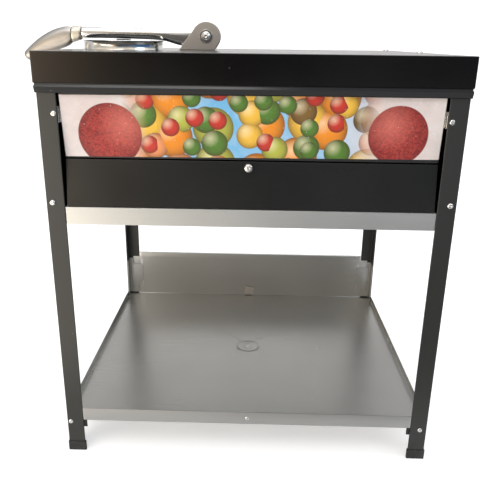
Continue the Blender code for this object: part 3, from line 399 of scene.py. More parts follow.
TOP_SHEET = 0.0015
FOLD_RADIUS = 0.0016
HOLE_PLAY = 0.0003
RIM_STEPS = ((0.0, 0.0486), (0.0024, 0.0502), (0.0001, 0.0554), (0.0012, 0.0640), (0.0016, 0.0650))
top_low, top_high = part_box("table_top")
collar_low, collar_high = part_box("hopper_collar")
hopper_x = (collar_low.x + collar_high.x) / 2
lever_y = (collar_low.y + collar_high.y) / 2
COLLAR_OUTER = 0.079
top_paint = black_paint("top_black", (0.002, 0.002, 0.002), (0.005, 0.0048, 0.0045), 0.15)
bm = bmesh.new()
corners = [(top_low.x, top_low.y), (top_high.x, top_low.y), (top_high.x, top_high.y), (top_low.x, top_high.y)]
outline = [bm.verts.new((x, y, top_high.z)) for x, y in corners]
rim = [bm.edges.new((a, b)) for a, b in zip(outline, outline[1:] + outline[:1])]
bmesh.ops.create_circle(bm, segments=96, radius=COLLAR_OUTER + HOLE_PLAY,
                        matrix=Matrix.Translation((hopper_x, lever_y, top_high.z)))
bmesh.ops.triangle_fill(bm, edges=bm.edges[:], use_beauty=True, normal=(0, 0, 1))
inset, drop = 0.0, 0.0
middle = (top_low + top_high) / 2
for next_inset, next_drop in RIM_STEPS:
    grown = bmesh.ops.extrude_edge_only(bm, edges=rim)
    rim = moved_edges(grown)
    for vert in moved_verts(grown):
        vert.co.x -= (next_inset - inset) * math.copysign(1, vert.co.x - middle.x)
        vert.co.y -= (next_inset - inset) * math.copysign(1, vert.co.y - middle.y)
        vert.co.z -= next_drop - drop
    inset, drop = next_inset, next_drop
bmesh.ops.recalc_face_normals(bm, faces=bm.faces)
if sum(face.normal.z for face in bm.faces) < 0:
    bmesh.ops.reverse_faces(bm, faces=bm.faces[:])
round_edges(bm, sharp_edges(bm, 60), FOLD_RADIUS, 9)
table_top = new_piece("table_top_sheet", bm, top_paint, 11)
thicken(table_top, TOP_SHEET)
attach(table_top, "table", "table_top")


# Cabinet panels and fascia. Folded black sheets between the legs: the sides and the back are plain, and
# the fascia leans back towards the drawer. Their cut edges are only broken, so they catch a thin light.
def softened(node, width, segments=2):
    """The node's own solid, with its flat faces made whole and its edges rounded."""
    bm = bmesh.new()
    bm.from_mesh(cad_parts[node].data)
    bmesh.ops.remove_doubles(bm, verts=bm.verts, dist=0.00002)
    bmesh.ops.dissolve_limit(bm, angle_limit=math.radians(1), verts=bm.verts, edges=bm.edges)
    round_edges(bm, sharp_edges(bm, 28), width, segments)
    return bm


def add_solid(node, form, width, material, body, segments=2):
    """Show a node as its own solid with softened edges."""
    piece = new_piece(f"{node}_{form}", softened(node, width, segments), material)
    even_shading(piece)
    attach(piece, body, node)


panel_paint = black_paint("panel_black", (0.008, 0.009, 0.0085), (0.014, 0.014, 0.013), 0.26)
for node in ("fascia_panel", "side_panel_left", "side_panel_right", "rear_panel"):
    add_solid(node, "sheet", 0.0004, panel_paint, "table")


# Fascia print. A glossy vinyl film stuck on the fascia, a little crooked: shaded beads of many colours on
# pale blue, thinning out towards pale ends with one large grainy red ball each, under a shine of laminate.
print_low, print_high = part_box("fascia_print")
PRINT_TILT = math.radians(-0.35)
BEAD_SCALE = 15.0
bm = softened("fascia_print", 0.0001, 1)
print_middle = (print_low + print_high) / 2
bmesh.ops.rotate(bm, verts=bm.verts, cent=print_middle, matrix=Matrix.Rotation(PRINT_TILT, 3, "Y"))
print_mat, tree, shader = new_material("vinyl_print", (0.5, 0.6, 0.7), 0.22, 0.0)
coords = add_node(tree, "ShaderNodeTexCoord").outputs["Object"]
flat = add_node(tree, "ShaderNodeMapping", {"Vector": coords, "Location": tuple(-print_middle)},
                vector_type="POINT")
split = add_node(tree, "ShaderNodeSeparateXYZ", {0: flat.outputs[0]})
plane = add_node(tree, "ShaderNodeCombineXYZ", {0: split.outputs["X"], 1: split.outputs["Z"]}).outputs[0]


def beads(tree, plane, scale, offset, radius):
    """Round beads at scattered places: a mask, a random number, a soft highlight and the way to the rim."""
    shifted = vector_math(tree, "ADD", plane, offset)
    cells = add_node(tree, "ShaderNodeTexVoronoi", {"Vector": shifted, "Scale": scale, "Randomness": 0.6},
                     voronoi_dimensions="2D")
    distance = cells.outputs["Distance"]
    body = spread(tree, distance, 1.0, 0.0, radius - 0.02, radius)
    away = vector_math(tree, "SUBTRACT", shifted, cells.outputs["Position"])
    up_left = vector_math(tree, "DISTANCE", away, (-0.14 / scale, 0.16 / scale, 0), "Value")
    shine = spread(tree, up_left, 1.0, 0.0, 0.02 / scale, 0.30 / scale)
    random = add_node(tree, "ShaderNodeSeparateColor", {0: cells.outputs["Color"]}).outputs[0]
    return body, random, shine, spread(tree, distance, 0.0, 1.0, 0.0, radius)


def colour_steps(tree, value, colours):
    ramp = tree.nodes.new("ShaderNodeValToRGB")
    ramp.color_ramp.interpolation = "CONSTANT"
    while len(ramp.color_ramp.elements) < len(colours):
        ramp.color_ramp.elements.new(1.0)
    for i, colour in enumerate(colours):
        ramp.color_ramp.elements[i].position = i / len(colours)
        ramp.color_ramp.elements[i].color = (*colour, 1)
    tree.links.new(value, ramp.inputs[0])
    return ramp.outputs[0]


ORANGE, YELLOW, LEAF, RED = (0.82, 0.27, 0.01), (0.84, 0.50, 0.05), (0.08, 0.20, 0.02), (0.56, 0.03, 0.015)
LIME, PEACH, UMBER = (0.44, 0.46, 0.06), (0.80, 0.30, 0.11), (0.20, 0.11, 0.02)
LARGE_COLOURS = (ORANGE, YELLOW, ORANGE, LIME, ORANGE, PEACH, ORANGE, YELLOW)
MIDDLE_COLOURS = (YELLOW, LEAF, ORANGE, UMBER, LIME, LEAF, PEACH, YELLOW)
SMALL_COLOURS = (RED, RED, LEAF, RED)
from_middle = calculate(tree, "ABSOLUTE", split.outputs["X"])
to_end = spread(tree, from_middle, 0.0, 1.0, 0.13, 0.21)
picture = blend_colours(tree, to_end, (0.17, 0.46, 0.74, 1), (0.66, 0.57, 0.55, 1))
haze = marks(tree, 18.0, low=0.40, high=0.80)
picture = blend_colours(tree, calculate(tree, "MULTIPLY", haze, 0.5), picture, (0.82, 0.83, 0.84, 1))
keep = spread(tree, from_middle, 1.0, 0.0, 0.172, 0.215)
LAYERS = ((BEAD_SCALE, (0.013, 0.021, 0), 0.52, LARGE_COLOURS, 0.0),
          (BEAD_SCALE * 1.3, (0.338, 0.246, 0), 0.44, MIDDLE_COLOURS, 0.12),
          (BEAD_SCALE * 1.7, (0.31, 0.12, 0), 0.40, SMALL_COLOURS, 0.55))
for scale, offset, radius, colours, least in LAYERS:
    body, random, shine, depth = beads(tree, plane, scale, offset, radius)
    hue = colour_steps(tree, random, colours)
    rim_dark = calculate(tree, "MULTIPLY", calculate(tree, "POWER", depth, 3.0), 0.80)
    shaded = blend_colours(tree, rim_dark, hue, (0.05, 0.02, 0.005, 1))
    lit = blend_colours(tree, calculate(tree, "MULTIPLY", shine, 0.45), shaded, (1.0, 0.90, 0.62, 1))
    some = calculate(tree, "GREATER_THAN", random, least)
    shown = calculate(tree, "MULTIPLY", calculate(tree, "MULTIPLY", body, keep), some)
    picture = blend_colours(tree, shown, picture, lit)
crushed = add_node(tree, "ShaderNodeTexVoronoi", {"Vector": plane, "Scale": 420.0}, voronoi_dimensions="2D")
grains = add_node(tree, "ShaderNodeSeparateColor", {0: crushed.outputs["Color"]}).outputs[0]
red_ice = blend_colours(tree, grains, (0.20, 0.012, 0.010, 1), (0.46, 0.045, 0.032, 1))
RED_BALLS = (((-0.236, -0.016, 0), 0.054, 0.5), ((0.243, -0.010, 0), 0.050, -0.3))
for centre, half, pale_side in RED_BALLS:
    apart = vector_math(tree, "SUBTRACT", plane, centre)
    reach = vector_math(tree, "LENGTH", apart, output="Value")
    inside = spread(tree, reach, 1.0, 0.0, half - 0.0012, half)
    depth = calculate(tree, "POWER", spread(tree, reach, 0.0, 1.0, 0.0, half), 3.0)
    shaded = blend_colours(tree, calculate(tree, "MULTIPLY", depth, 0.55), red_ice, (0.10, 0.005, 0.004, 1))
    gleam = vector_math(tree, "DISTANCE", apart, (pale_side * half, 0.35 * half, 0), "Value")
    gleam = spread(tree, gleam, 0.45, 0.0, 0.0, 0.9 * half)
    picture = blend_colours(tree, inside, picture, blend_colours(tree, gleam, shaded, (0.86, 0.26, 0.20, 1)))
sparkle = specks(tree, 260.0, 0.16, 0.06)
picture = blend_colours(tree, calculate(tree, "MULTIPLY", sparkle, 0.6), picture, (0.95, 0.96, 0.97, 1))
tree.links.new(picture, shader.inputs["Base Color"])
tree.links.new(spread(tree, marks(tree, 25.0), 0.18, 0.34), shader.inputs["Roughness"])
bump(tree, shader, marks(tree, 9.0, detail=1.0), 0.0005)
film = new_piece("fascia_print_film", bm, print_mat)
attach(film, "table", "fascia_print")


# Fascia clips. Two offset strips of bright plated steel, riveted behind the front legs, which hold the
# fascia by its back; only a sliver of each shows in the gap beside the print.
def plated(name, colour, low, high):
    """Bright plating with fine scratches and a little dulling."""
    material, tree, shader = new_material(name, colour, low, 1.0)
    dull = marks(tree, 60.0)
    tree.links.new(spread(tree, dull, low, high), shader.inputs["Roughness"])
    red, green, blue = colour
    dulled = (red * 0.82, green * 0.82, blue * 0.8, 1)
    tree.links.new(blend_colours(tree, dull, (*colour, 1), dulled), shader.inputs["Base Color"])
    bump(tree, shader, marks(tree, 3.0, (40, 900, 900)), 0.00002)
    return material


plating = plated("bright_plating", (0.80, 0.79, 0.77), 0.10, 0.30)
for hand in ("left", "right"):
    add_solid(f"fascia_clip_{hand}", "strip", 0.0003, plating, "table")


# Drip pan and front rail. Brushed stainless sheet: the pan is a plain tray under the drawer, and the rail
# is the pale strip in front of it, jogged back behind the legs and bolted there through its ears.
def brushed_steel(name, colour, other, along, low, high, streak=0.25):
    """Stainless sheet with grain along one axis, cloudy handling marks and two tints of grey."""
    material, tree, shader = new_material(name, colour, low, 1.0)
    stretch = [900.0, 900.0, 900.0]
    stretch["XYZ".index(along)] = 5.0
    grain = marks(tree, 1.0, tuple(stretch), 0.15, 0.85, 2.0)
    cloud = marks(tree, 4.0, low=0.15, high=0.85, detail=2.0)
    tint = blend_colours(tree, cloud, (*colour, 1), (*other, 1))
    shade = [part * 0.6 for part in other]
    streaked = blend_colours(tree, spread(tree, grain, 0.0, streak), tint, (*shade, 1))
    tree.links.new(streaked, shader.inputs["Base Color"])
    rough = calculate(tree, "ADD", spread(tree, grain, low, high), spread(tree, cloud, -0.03, 0.05))
    tree.links.new(rough, shader.inputs["Roughness"])
    bump(tree, shader, grain, 0.00002)
    return material


pan_steel = brushed_steel("pan_steel", (0.60, 0.60, 0.58), (0.50, 0.51, 0.50), "X", 0.26, 0.38, 0.12)
for node in ("front_rail", "drip_pan"):
    add_solid(node, "sheet", 0.0005, pan_steel, "table")


# Drawer. A welded stainless box that slides on two folded rails standing on the drip pan, behind a black
# sheet front that leans out towards its lower edge. Rails stay with the table, the rest with the drawer.
drawer_steel = brushed_steel("drawer_steel", (0.60, 0.60, 0.59), (0.48, 0.49, 0.50), "Y", 0.26, 0.42)
for node, body in (("drawer_rail_left", "table"), ("drawer_rail_right", "table"), ("drawer_box", "drawer")):
    add_solid(node, "sheet", 0.0004, drawer_steel, body)
add_solid("drawer_front", "sheet", 0.0006, panel_paint, "drawer", 3)


# Drawer knob. A small turned and plated button on a stem, with a sunk centre that is held by a screw
# from behind; it sits high on the drawer front.
AXES = {"Z": Matrix(), "-Z": Matrix.Rotation(math.pi, 4, "X"),
        "Y": Matrix.Rotation(-math.pi / 2, 4, "X"), "-Y": Matrix.Rotation(math.pi / 2, 4, "X"),
        "X": Matrix.Rotation(math.pi / 2, 4, "Y"), "-X": Matrix.Rotation(-math.pi / 2, 4, "Y")}


def turned(profile, centre, axis, steps):
    """Spin a closed profile of (radius, height) points; height runs along the axis from the centre."""
    bm = bmesh.new()
    loop = [bm.verts.new((radius, 0, height)) for radius, height in profile]
    edges = [bm.edges.new((a, b)) for a, b in zip(loop, loop[1:] + loop[:1])]
    bmesh.ops.spin(bm, geom=loop + edges, cent=(0, 0, 0), axis=(0, 0, 1), angle=math.tau,
                   steps=steps, use_merge=True)
    bmesh.ops.remove_doubles(bm, verts=bm.verts, dist=TINY)
    bmesh.ops.delete(bm, geom=[edge for edge in bm.edges if not edge.link_faces], context="EDGES")
    bmesh.ops.recalc_face_normals(bm, faces=bm.faces)
    bmesh.ops.transform(bm, matrix=Matrix.Translation(centre) @ AXES[axis], verts=bm.verts)
    return bm


knob_low, knob_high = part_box("drawer_knob")
knob_middle = (knob_low + knob_high) / 2
knob_radius = (knob_high.x - knob_low.x) / 2
knob_reach = knob_high.y - knob_low.y
knob_profile = [(0, 0), (0.0040, 0), (0.0038, 0.0028), (knob_radius * 0.80, 0.0036),
                (knob_radius * 0.95, 0.0044), (knob_radius, 0.0056), (knob_radius, 0.0072),
                (knob_radius * 0.93, 0.0086),
                (knob_radius * 0.74, 0.0098), (knob_radius * 0.50, 0.0105), (knob_radius * 0.34, knob_reach),
                (knob_radius * 0.26, 0.0103), (0.0015, 0.0088), (0, 0.0086)]
knob_place = (knob_middle.x, knob_high.y, knob_middle.z)
knob = new_piece("drawer_knob_button", turned(knob_profile, knob_place, "-Y", 64), plating, 50)
attach(knob, "drawer", "drawer_knob")


# Shelf tray. One stainless sheet notched round the legs: a floor with short creases to stiffen it,
# a round pressing where a rivet holds it to the stiffener, a front lip, low sides, a high rear wall and
# two wings that line the rear legs.
def split_sheet(bm, place, across):
    """Cut the sheet along a plane, so that its outline and its folds can follow the cut."""
    bmesh.ops.bisect_plane(bm, geom=bm.verts[:] + bm.edges[:] + bm.faces[:], dist=0.000001,
                           plane_co=place, plane_no=across)


CREASE_HEIGHT, CREASE_WIDTH, CREASE_REACH, CREASE_FADE = 0.0005, 0.006, 0.105, 0.075
CREASE_START, CREASE_RISE = 0.026, 0.008
PRESSING_RADIUS, PRESSING_DEPTH, PRESSING_SLOPE = 0.030, 0.0022, 0.009
RIDGE_HEIGHT, RIDGE_RADIUS, RIDGE_WIDTH = 0.0005, 0.013, 0.002
FINE_REACH = 0.085
TRAY_SHEET = 0.0015
LEG_GAP = 0.0003
LIP_GAP = 0.0008
tray_low, tray_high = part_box("shelf_tray")
leg_left, leg_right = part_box("leg_front_left"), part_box("leg_rear_right")
lip_left = leg_left[1].x + LIP_GAP
lip_right = leg_right[0].x - LIP_GAP
FLOOR_TOP = 0.071
ON_FLOOR = FLOOR_TOP + 0.001
LIP_TOP = 0.097
SIDE_TOP = 0.085
rivet_low, rivet_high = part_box("shelf_rivet")
pressing = (rivet_low + rivet_high) / 2
stainless = brushed_steel("shelf_steel", (0.50, 0.50, 0.48), (0.43, 0.43, 0.42), "X", 0.26, 0.32, 0.06)
bm = bmesh.new()
front_y = tray_low.y
back_y = leg_right[1].y - LEG_WALL - LEG_GAP
half_wide = (tray_high.x - tray_low.x) / 2
half_deep = (back_y - front_y) / 2
floor_centre = Vector(((tray_high.x + tray_low.x) / 2, (back_y + front_y) / 2, FLOOR_TOP))
grid = Matrix.Translation(floor_centre) @ Matrix.Diagonal((half_wide, half_deep, 1, 1))
bmesh.ops.create_grid(bm, x_segments=120, y_segments=110, size=1, matrix=grid)
notch_front = leg_left[1].y + LEG_GAP
notch_back = leg_right[0].y - LEG_GAP
inner_left = leg_left[0].x + LEG_WALL + 2 * LEG_GAP
inner_right = leg_right[1].x - LEG_WALL - 2 * LEG_GAP
jog_y = front_y + LEG_WALL
for x in (lip_left, lip_right, inner_left, inner_right):
    split_sheet(bm, (x, 0, 0), (1, 0, 0))
for y in (notch_front, notch_back, jog_y):
    split_sheet(bm, (0, y, 0), (0, 1, 0))
spare = []
for face in bm.faces:
    spot = face.calc_center_median()
    beside = spot.x < inner_left or spot.x > inner_right
    at_leg = spot.y < notch_front or spot.y > notch_back
    before = spot.y < jog_y and (spot.x < lip_left or spot.x > lip_right)
    if (beside and at_leg) or before:
        spare.append(face)
bmesh.ops.delete(bm, geom=spare, context="FACES")


def soft_step(value):
    share = min(1.0, max(0.0, value))
    return share * share * (3 - 2 * share)


def floor_height(x, y):
    """How far the floor stands above its flat level: four short creases round a pressing with a ridge."""
    u, v = x - pressing.x, y - pressing.y
    away = math.hypot(u, v)
    across = abs(abs(u) - abs(v)) / math.sqrt(2)
    crease = CREASE_HEIGHT * math.exp(-(across / CREASE_WIDTH) ** 2)
    crease *= soft_step((CREASE_REACH - away) / CREASE_FADE)
    sunk = PRESSING_DEPTH * soft_step((PRESSING_RADIUS - away) / PRESSING_SLOPE)
    ridge = RIDGE_HEIGHT * math.exp(-((away - RIDGE_RADIUS) / RIDGE_WIDTH) ** 2)
    return crease * soft_step((away - CREASE_START) / CREASE_RISE) - sunk + ridge


near = []
for face in bm.faces:
    apart = face.calc_center_median() - pressing
    if abs(apart.x) < FINE_REACH and abs(apart.y) < FINE_REACH:
        near.append(face)
near_edges = {edge for face in near for edge in face.edges}
bmesh.ops.subdivide_edges(bm, edges=list(near_edges), cuts=2, use_grid_fill=True)
for vert in bm.verts:
    vert.co.z += floor_height(vert.co.x, vert.co.y)


def raised(bm, chosen, height):
    """Fold the chosen boundary edges of the sheet straight up to a height."""
    grown = bmesh.ops.extrude_edge_only(bm, edges=chosen)
    for vert in moved_verts(grown):
        vert.co.z = height
    return moved_edges(grown)


def border(bm, test):
    return [edge for edge in bm.edges if edge.is_boundary and all(test(vert.co) for vert in edge.verts)]


raised(bm, border(bm, lambda co: co.y < front_y + TINY), LIP_TOP)
for side_x in (tray_low.x, tray_high.x):
    raised(bm, border(bm, lambda co: abs(co.x - side_x) < TINY and co.z < ON_FLOOR), SIDE_TOP)
WALL_HALF, FOOT_HALF, CROWN_HALF, EAR_HALF = 0.311, 0.326, 0.3184, 0.338
FOOT_NECK, FOOT_TOP, EAR_BOTTOM, EAR_TOP, REAR_CREASE = 0.096, 0.113, 0.161, 0.185, 0.1865
for reach in (-FOOT_HALF, -WALL_HALF, WALL_HALF, FOOT_HALF):
    split_sheet(bm, (floor_centre.x + reach, 0, 0), (1, 0, 0))


def within(co, reach):
    return abs(co.x - floor_centre.x) < reach + TINY


foot = raised(bm, border(bm, lambda co: co.y > back_y - TINY and within(co, FOOT_HALF)), FOOT_TOP)
for vert in {vert for edge in foot for vert in edge.verts}:
    past = (abs(vert.co.x - floor_centre.x) - WALL_HALF) / (FOOT_HALF - WALL_HALF)
    vert.co.z -= max(past, 0) * (FOOT_TOP - FOOT_NECK)
upper = [edge for edge in foot if all(within(vert.co, WALL_HALF) for vert in edge.verts)]
for height in (EAR_BOTTOM, EAR_TOP, REAR_CREASE, tray_high.z):
    upper = raised(bm, upper, height)
REAR_LEAN = 0.0007
bmesh.ops.translate(bm, verts=list({vert for edge in upper for vert in edge.verts}), vec=(0, REAR_LEAN, 0))
rear_fold = bmesh.ops.extrude_edge_only(bm, edges=upper)
bmesh.ops.translate(bm, verts=moved_verts(rear_fold), vec=(0, tray_high.y - back_y - REAR_LEAN, 0))
for way in (-1, 1):
    wall_end = floor_centre.x + way * WALL_HALF
    end_edge = border(bm, lambda co: abs(co.x - wall_end) < TINY and co.z > EAR_BOTTOM - TINY
                      and co.y > back_y - TINY)
    crown = bmesh.ops.extrude_edge_only(bm, edges=end_edge)
    bmesh.ops.translate(bm, verts=moved_verts(crown), vec=(way * (CROWN_HALF - WALL_HALF), 0, 0))
    ear_edge = []
    for edge in moved_edges(crown):
        if all(vert.co.z < EAR_TOP + TINY for vert in edge.verts):
            ear_edge.append(edge)
    grown = bmesh.ops.extrude_edge_only(bm, edges=ear_edge)
    bmesh.ops.translate(bm, verts=moved_verts(grown), vec=(way * (EAR_HALF - CROWN_HALF), 0, 0))
WING_FOOT, WING_TOP, WING_GAP = 0.0745, 0.180, 0.0012
wing_plane = back_y - WING_GAP
WING = ((0.3245, WING_FOOT), (0.3245, 0.095), (0.3095, 0.112), (0.3095, 0.162), (0.339, 0.162),
        (0.339, WING_TOP))
for x, way in ((inner_left, -1), (inner_right, 1)):
    beside = border(bm, lambda co: abs(co.x - x) < TINY and co.y > notch_back - TINY and co.z < ON_FLOOR)
    raised(bm, raised(bm, beside, WING_FOOT), WING_TOP)
    for vert in bm.verts:
        if abs(vert.co.x - x) < TINY and vert.co.y > back_y - TINY and vert.co.z > WING_FOOT - TINY:
            vert.co.y = wing_plane
    outline = [(floor_centre.x + way * a, z) for a, z in WING]
    outline = [(x, WING_FOOT)] + outline + [(x, WING_TOP)]
    bm.faces.new([bm.verts.new((a, wing_plane, z)) for a, z in outline])
bmesh.ops.remove_doubles(bm, verts=bm.verts, dist=TINY)
bmesh.ops.recalc_face_normals(bm, faces=bm.faces)
flat_spot = floor_centre + Vector((0.1, 0.1, 0))
floor_face = min(bm.faces, key=lambda face: (face.calc_center_median() - flat_spot).length)
if floor_face.normal.z < 0:
    bmesh.ops.reverse_faces(bm, faces=bm.faces[:])
round_edges(bm, sharp_edges(bm, 60), FOLD_RADIUS, 3)
tray = new_piece("shelf_tray_sheet", bm, stainless, 45)
thicken(tray, TRAY_SHEET)
attach(tray, "table", "shelf_tray")


# Shelf supports. Hat-section stiffeners of stainless sheet under the floor of the shelf, and a black
# folded bracket at each leg that carries a corner of it.
for node in ("tray_stiffener", "tray_cross_stiffener_left", "tray_cross_stiffener_right"):
    add_solid(node, "hat", 0.0004, drawer_steel, "table")
for _, hand, _, depth in CORNERS:
    add_solid(f"tray_bracket_{depth}_{hand}", "fold", 0.0005, panel_paint, "table")


# Square washers. Thin stainless plates that spread the load of the screws in the middle of the front lip
# and of the rear wall; the rear one has turned a little on its screw.
REAR_WASHER_TURN = math.radians(8)
washer_steel = brushed_steel("washer_steel", (0.66, 0.63, 0.58), (0.56, 0.53, 0.49), "Z", 0.26, 0.42)
for node, turn in (("lip_washer", 0.0), ("rear_washer", REAR_WASHER_TURN)):
    bm = softened(node, 0.0004)
    low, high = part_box(node)
    lift = (high.x - low.x) / 2 * math.sin(turn)
    bmesh.ops.rotate(bm, verts=bm.verts, cent=(low + high) / 2, matrix=Matrix.Rotation(turn, 3, "Y"))
    bmesh.ops.translate(bm, verts=bm.verts, vec=(0, 0, lift))
    washer = new_piece(f"{node}_plate", bm, washer_steel)
    even_shading(washer)
    attach(washer, "table", node)


# Rivets and bolts of the frame. Dome-headed blind rivets with a hollow mandrel in the middle hold the
# fascia clips and the tray brackets, and two larger bolts with sunk centres hold the front rail.
def rivet_profile(radius, height, hollow):
    return [(0, 0), (radius, 0), (radius, height * 0.22), (radius * 0.94, height * 0.45),
            (radius * 0.78, height * 0.74), (radius * 0.55, height * 0.95), (radius * 0.38, height),
            (hollow, height * 0.96), (hollow * 0.86, height * 0.5), (hollow * 0.4, height * 0.42),
            (0, height * 0.46)]


def add_rivet(name, place, axis, radius, height, hollow, node=None):
    head = new_piece(name, turned(rivet_profile(radius, height, hollow), place, axis, 32), plating, 50)
    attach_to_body(head, "table")
    if node:
        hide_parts(node)


FRONT_HEADS = (("fascia_rivet_left", 0.0013), ("fascia_rivet_right", 0.0013), ("pan_bolt_left", 0.0020),
               ("pan_bolt_right", 0.0020), ("tray_rivet_left", 0.0013), ("tray_rivet_right", 0.0013),
               ("lip_screw", 0.0016))
for node, hollow in FRONT_HEADS:
    low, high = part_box(node)
    face = Vector(((low.x + high.x) / 2, high.y, (low.z + high.z) / 2))
    add_rivet(f"{node}_head", face, "-Y", (high.x - low.x) / 2, high.y - low.y, hollow, node)
rivet_floor = FLOOR_TOP + floor_height(pressing.x, pressing.y)
add_rivet("shelf_rivet_head", (pressing.x, pressing.y, rivet_floor), "Z",
          (rivet_high.x - rivet_low.x) / 2, rivet_high.z - rivet_low.z, 0.0016, "shelf_rivet")


# Hopper collar. A turned ring of bright plated steel let into the work top, with a rolled rim above it
# and a flange screwed up against the underside. Ice cubes are put into it under the lifted lever.
COLLAR_BORE = 0.076
GRATE_LIP = 0.071
FLANGE_THICK, FLANGE_GAP = 0.003, 0.0003
collar_top = collar_high.z
collar_floor = collar_low.z
under_top = top_high.z - TOP_SHEET - FLANGE_GAP
flange = (collar_high.x - collar_low.x) / 2
collar_profile = [(COLLAR_BORE, collar_top - 0.0030), (COLLAR_BORE + 0.0003, collar_top - 0.0012),
                  (COLLAR_BORE + 0.0014, collar_top - 0.0002), (COLLAR_BORE + 0.0026, collar_top),
                  (COLLAR_OUTER + 0.0014, collar_top - 0.0001), (COLLAR_OUTER + 0.0024, collar_top - 0.0005),
                  (COLLAR_OUTER + 0.0026, collar_top - 0.0010), (COLLAR_OUTER + 0.0020, collar_top - 0.0016),
                  (COLLAR_OUTER + 0.0006, collar_top - 0.0020), (COLLAR_OUTER, collar_top - 0.0028),
                  (COLLAR_OUTER, under_top + 0.0004), (COLLAR_OUTER + 0.0004, under_top), (flange, under_top),
                  (flange, under_top - FLANGE_THICK), (COLLAR_OUTER, under_top - FLANGE_THICK),
                  (COLLAR_OUTER, collar_floor), (GRATE_LIP, collar_floor), (GRATE_LIP, collar_floor + 0.002),
                  (COLLAR_BORE, collar_floor + 0.002)]
collar_plating = plated("collar_plating", (0.84, 0.83, 0.81), 0.04, 0.12)
collar = new_piece("hopper_collar_ring", turned(collar_profile, (hopper_x, lever_y, 0), "Z", 128),
                   collar_plating, 50)
attach(collar, "table", "hopper_collar")


# Blade grate and ice chute. Seven ground stainless blades in a ring lie on the collar's inner lip, and a
# spun funnel below them leads the crushed ice into the drawer.
grate_steel = brushed_steel("grate_steel", (0.66, 0.66, 0.65), (0.52, 0.52, 0.52), "X", 0.16, 0.30)
add_solid("blade_grate", "ring", 0.0002, grate_steel, "table", 1)
chute_low, chute_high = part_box("ice_chute")
chute_profile = [(COLLAR_BORE - TOP_SHEET, chute_high.z), (COLLAR_OUTER, chute_high.z),
                 (COLLAR_OUTER, chute_high.z - 0.007), (COLLAR_OUTER - 0.0004, chute_high.z - 0.009),
                 (0.0615, chute_low.z), (0.060, chute_low.z),
                 (COLLAR_BORE - TOP_SHEET, chute_high.z - 0.009)]
chute = new_piece("ice_chute_funnel", turned(chute_profile, (hopper_x, lever_y, 0), "Z", 96),
                  drawer_steel, 40)
attach(chute, "table", "ice_chute")


# Lever bracket. Two teardrop ears of 5 mm stainless plate, cut and ground bright on the edge, welded to a
# base plate that is bolted through the work top to a backing plate under it.
bracket_low, bracket_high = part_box("lever_bracket")
EAR_RADIUS, EAR_FOOT, EAR_ROUND = 0.028, 0.016, 0.0011
FORK_HALF = 0.014
BASE_THICK = 0.004
BOLT_HOLE = 0.0063
pivot_x = bracket_high.x - EAR_RADIUS
pivot_z = bracket_high.z - EAR_RADIUS
base_top = bracket_low.z + BASE_THICK


def holder(bm):
    """A short-lived object that holds a shape, so that a modifier can work on it."""
    mesh = bpy.data.meshes.new("holder")
    bm.to_mesh(mesh)
    bm.free()
    obj = bpy.data.objects.new("holder", mesh)
    bpy.context.scene.collection.objects.link(obj)
    return obj


def result_of(objects):
    """The first object's shape after its modifiers; all the objects are removed."""
    done = bmesh.new()
    done.from_object(objects[0], bpy.context.evaluated_depsgraph_get())
    for obj in objects:
        mesh = obj.data
        bpy.data.objects.remove(obj)
        bpy.data.meshes.remove(mesh)
    return done


def cut_away(bm, tool, operation="DIFFERENCE"):
    """Cut one closed shape out of another, or join it on, and give back the result."""
    shapes = [holder(bm), holder(tool)]
    modifier = shapes[0].modifiers.new("Cut", "BOOLEAN")
    modifier.operation = operation
    modifier.object = shapes[1]
    done = result_of(shapes)
    bmesh.ops.remove_doubles(done, verts=done.verts, dist=0.000005)
    return done


def block(low, high):
    bm = bmesh.new()
    size = Vector(high) - Vector(low)
    middle = (Vector(high) + Vector(low)) / 2
    bmesh.ops.create_cube(bm, size=1.0, matrix=Matrix.Translation(middle) @ Matrix.Diagonal((*size, 1)))
    return bm


def disc(radius, centre, length, axis, steps):
    return turned([(0, 0), (radius, 0), (radius, length), (0, length)], centre, axis, steps)


bm = bmesh.new()
for y in (bracket_low.y, bracket_high.y):
    bmesh.ops.create_circle(bm, segments=96, radius=EAR_RADIUS,
                            matrix=Matrix.Translation((pivot_x, y, pivot_z)) @ AXES["Y"])
    for x in (bracket_low.x, pivot_x + EAR_FOOT):
        bm.verts.new((x, y, bracket_low.z))
below = [vert for vert in bm.verts if vert.co.z < bracket_low.z - TINY]
bmesh.ops.delete(bm, geom=below, context="VERTS")
hull = bmesh.ops.convex_hull(bm, input=bm.verts[:])
bmesh.ops.delete(bm, geom=[part for part in hull["geom_interior"] if isinstance(part, bmesh.types.BMVert)],
                 context="VERTS")
bmesh.ops.dissolve_limit(bm, angle_limit=math.radians(0.5), verts=bm.verts, edges=bm.edges)
bmesh.ops.recalc_face_normals(bm, faces=bm.faces)
bm = cut_away(bm, block((bracket_low.x - 0.01, lever_y - FORK_HALF, base_top),
                        (bracket_high.x + 0.01, lever_y + FORK_HALF, bracket_high.z + 0.01)))
bm = cut_away(bm, disc(BOLT_HOLE, (pivot_x, bracket_low.y - 0.005, pivot_z), 0.06, "Y", 48))
round_edges(bm, sharp_edges(bm, 40), EAR_ROUND, 2)
ear_steel = brushed_steel("ear_steel", (0.68, 0.65, 0.61), (0.60, 0.57, 0.54), "Z", 0.32, 0.46, 0.15)
bracket = new_piece("lever_bracket_fork", bm, ear_steel, 35)
even_shading(bracket)
attach(bracket, "table", "lever_bracket")
add_solid("bracket_backing_plate", "steel", 0.0005, drawer_steel, "table")
for end in ("left", "right"):
    add_solid(f"bracket_bolt_{end}", "steel", 0.0004, plating, "table")


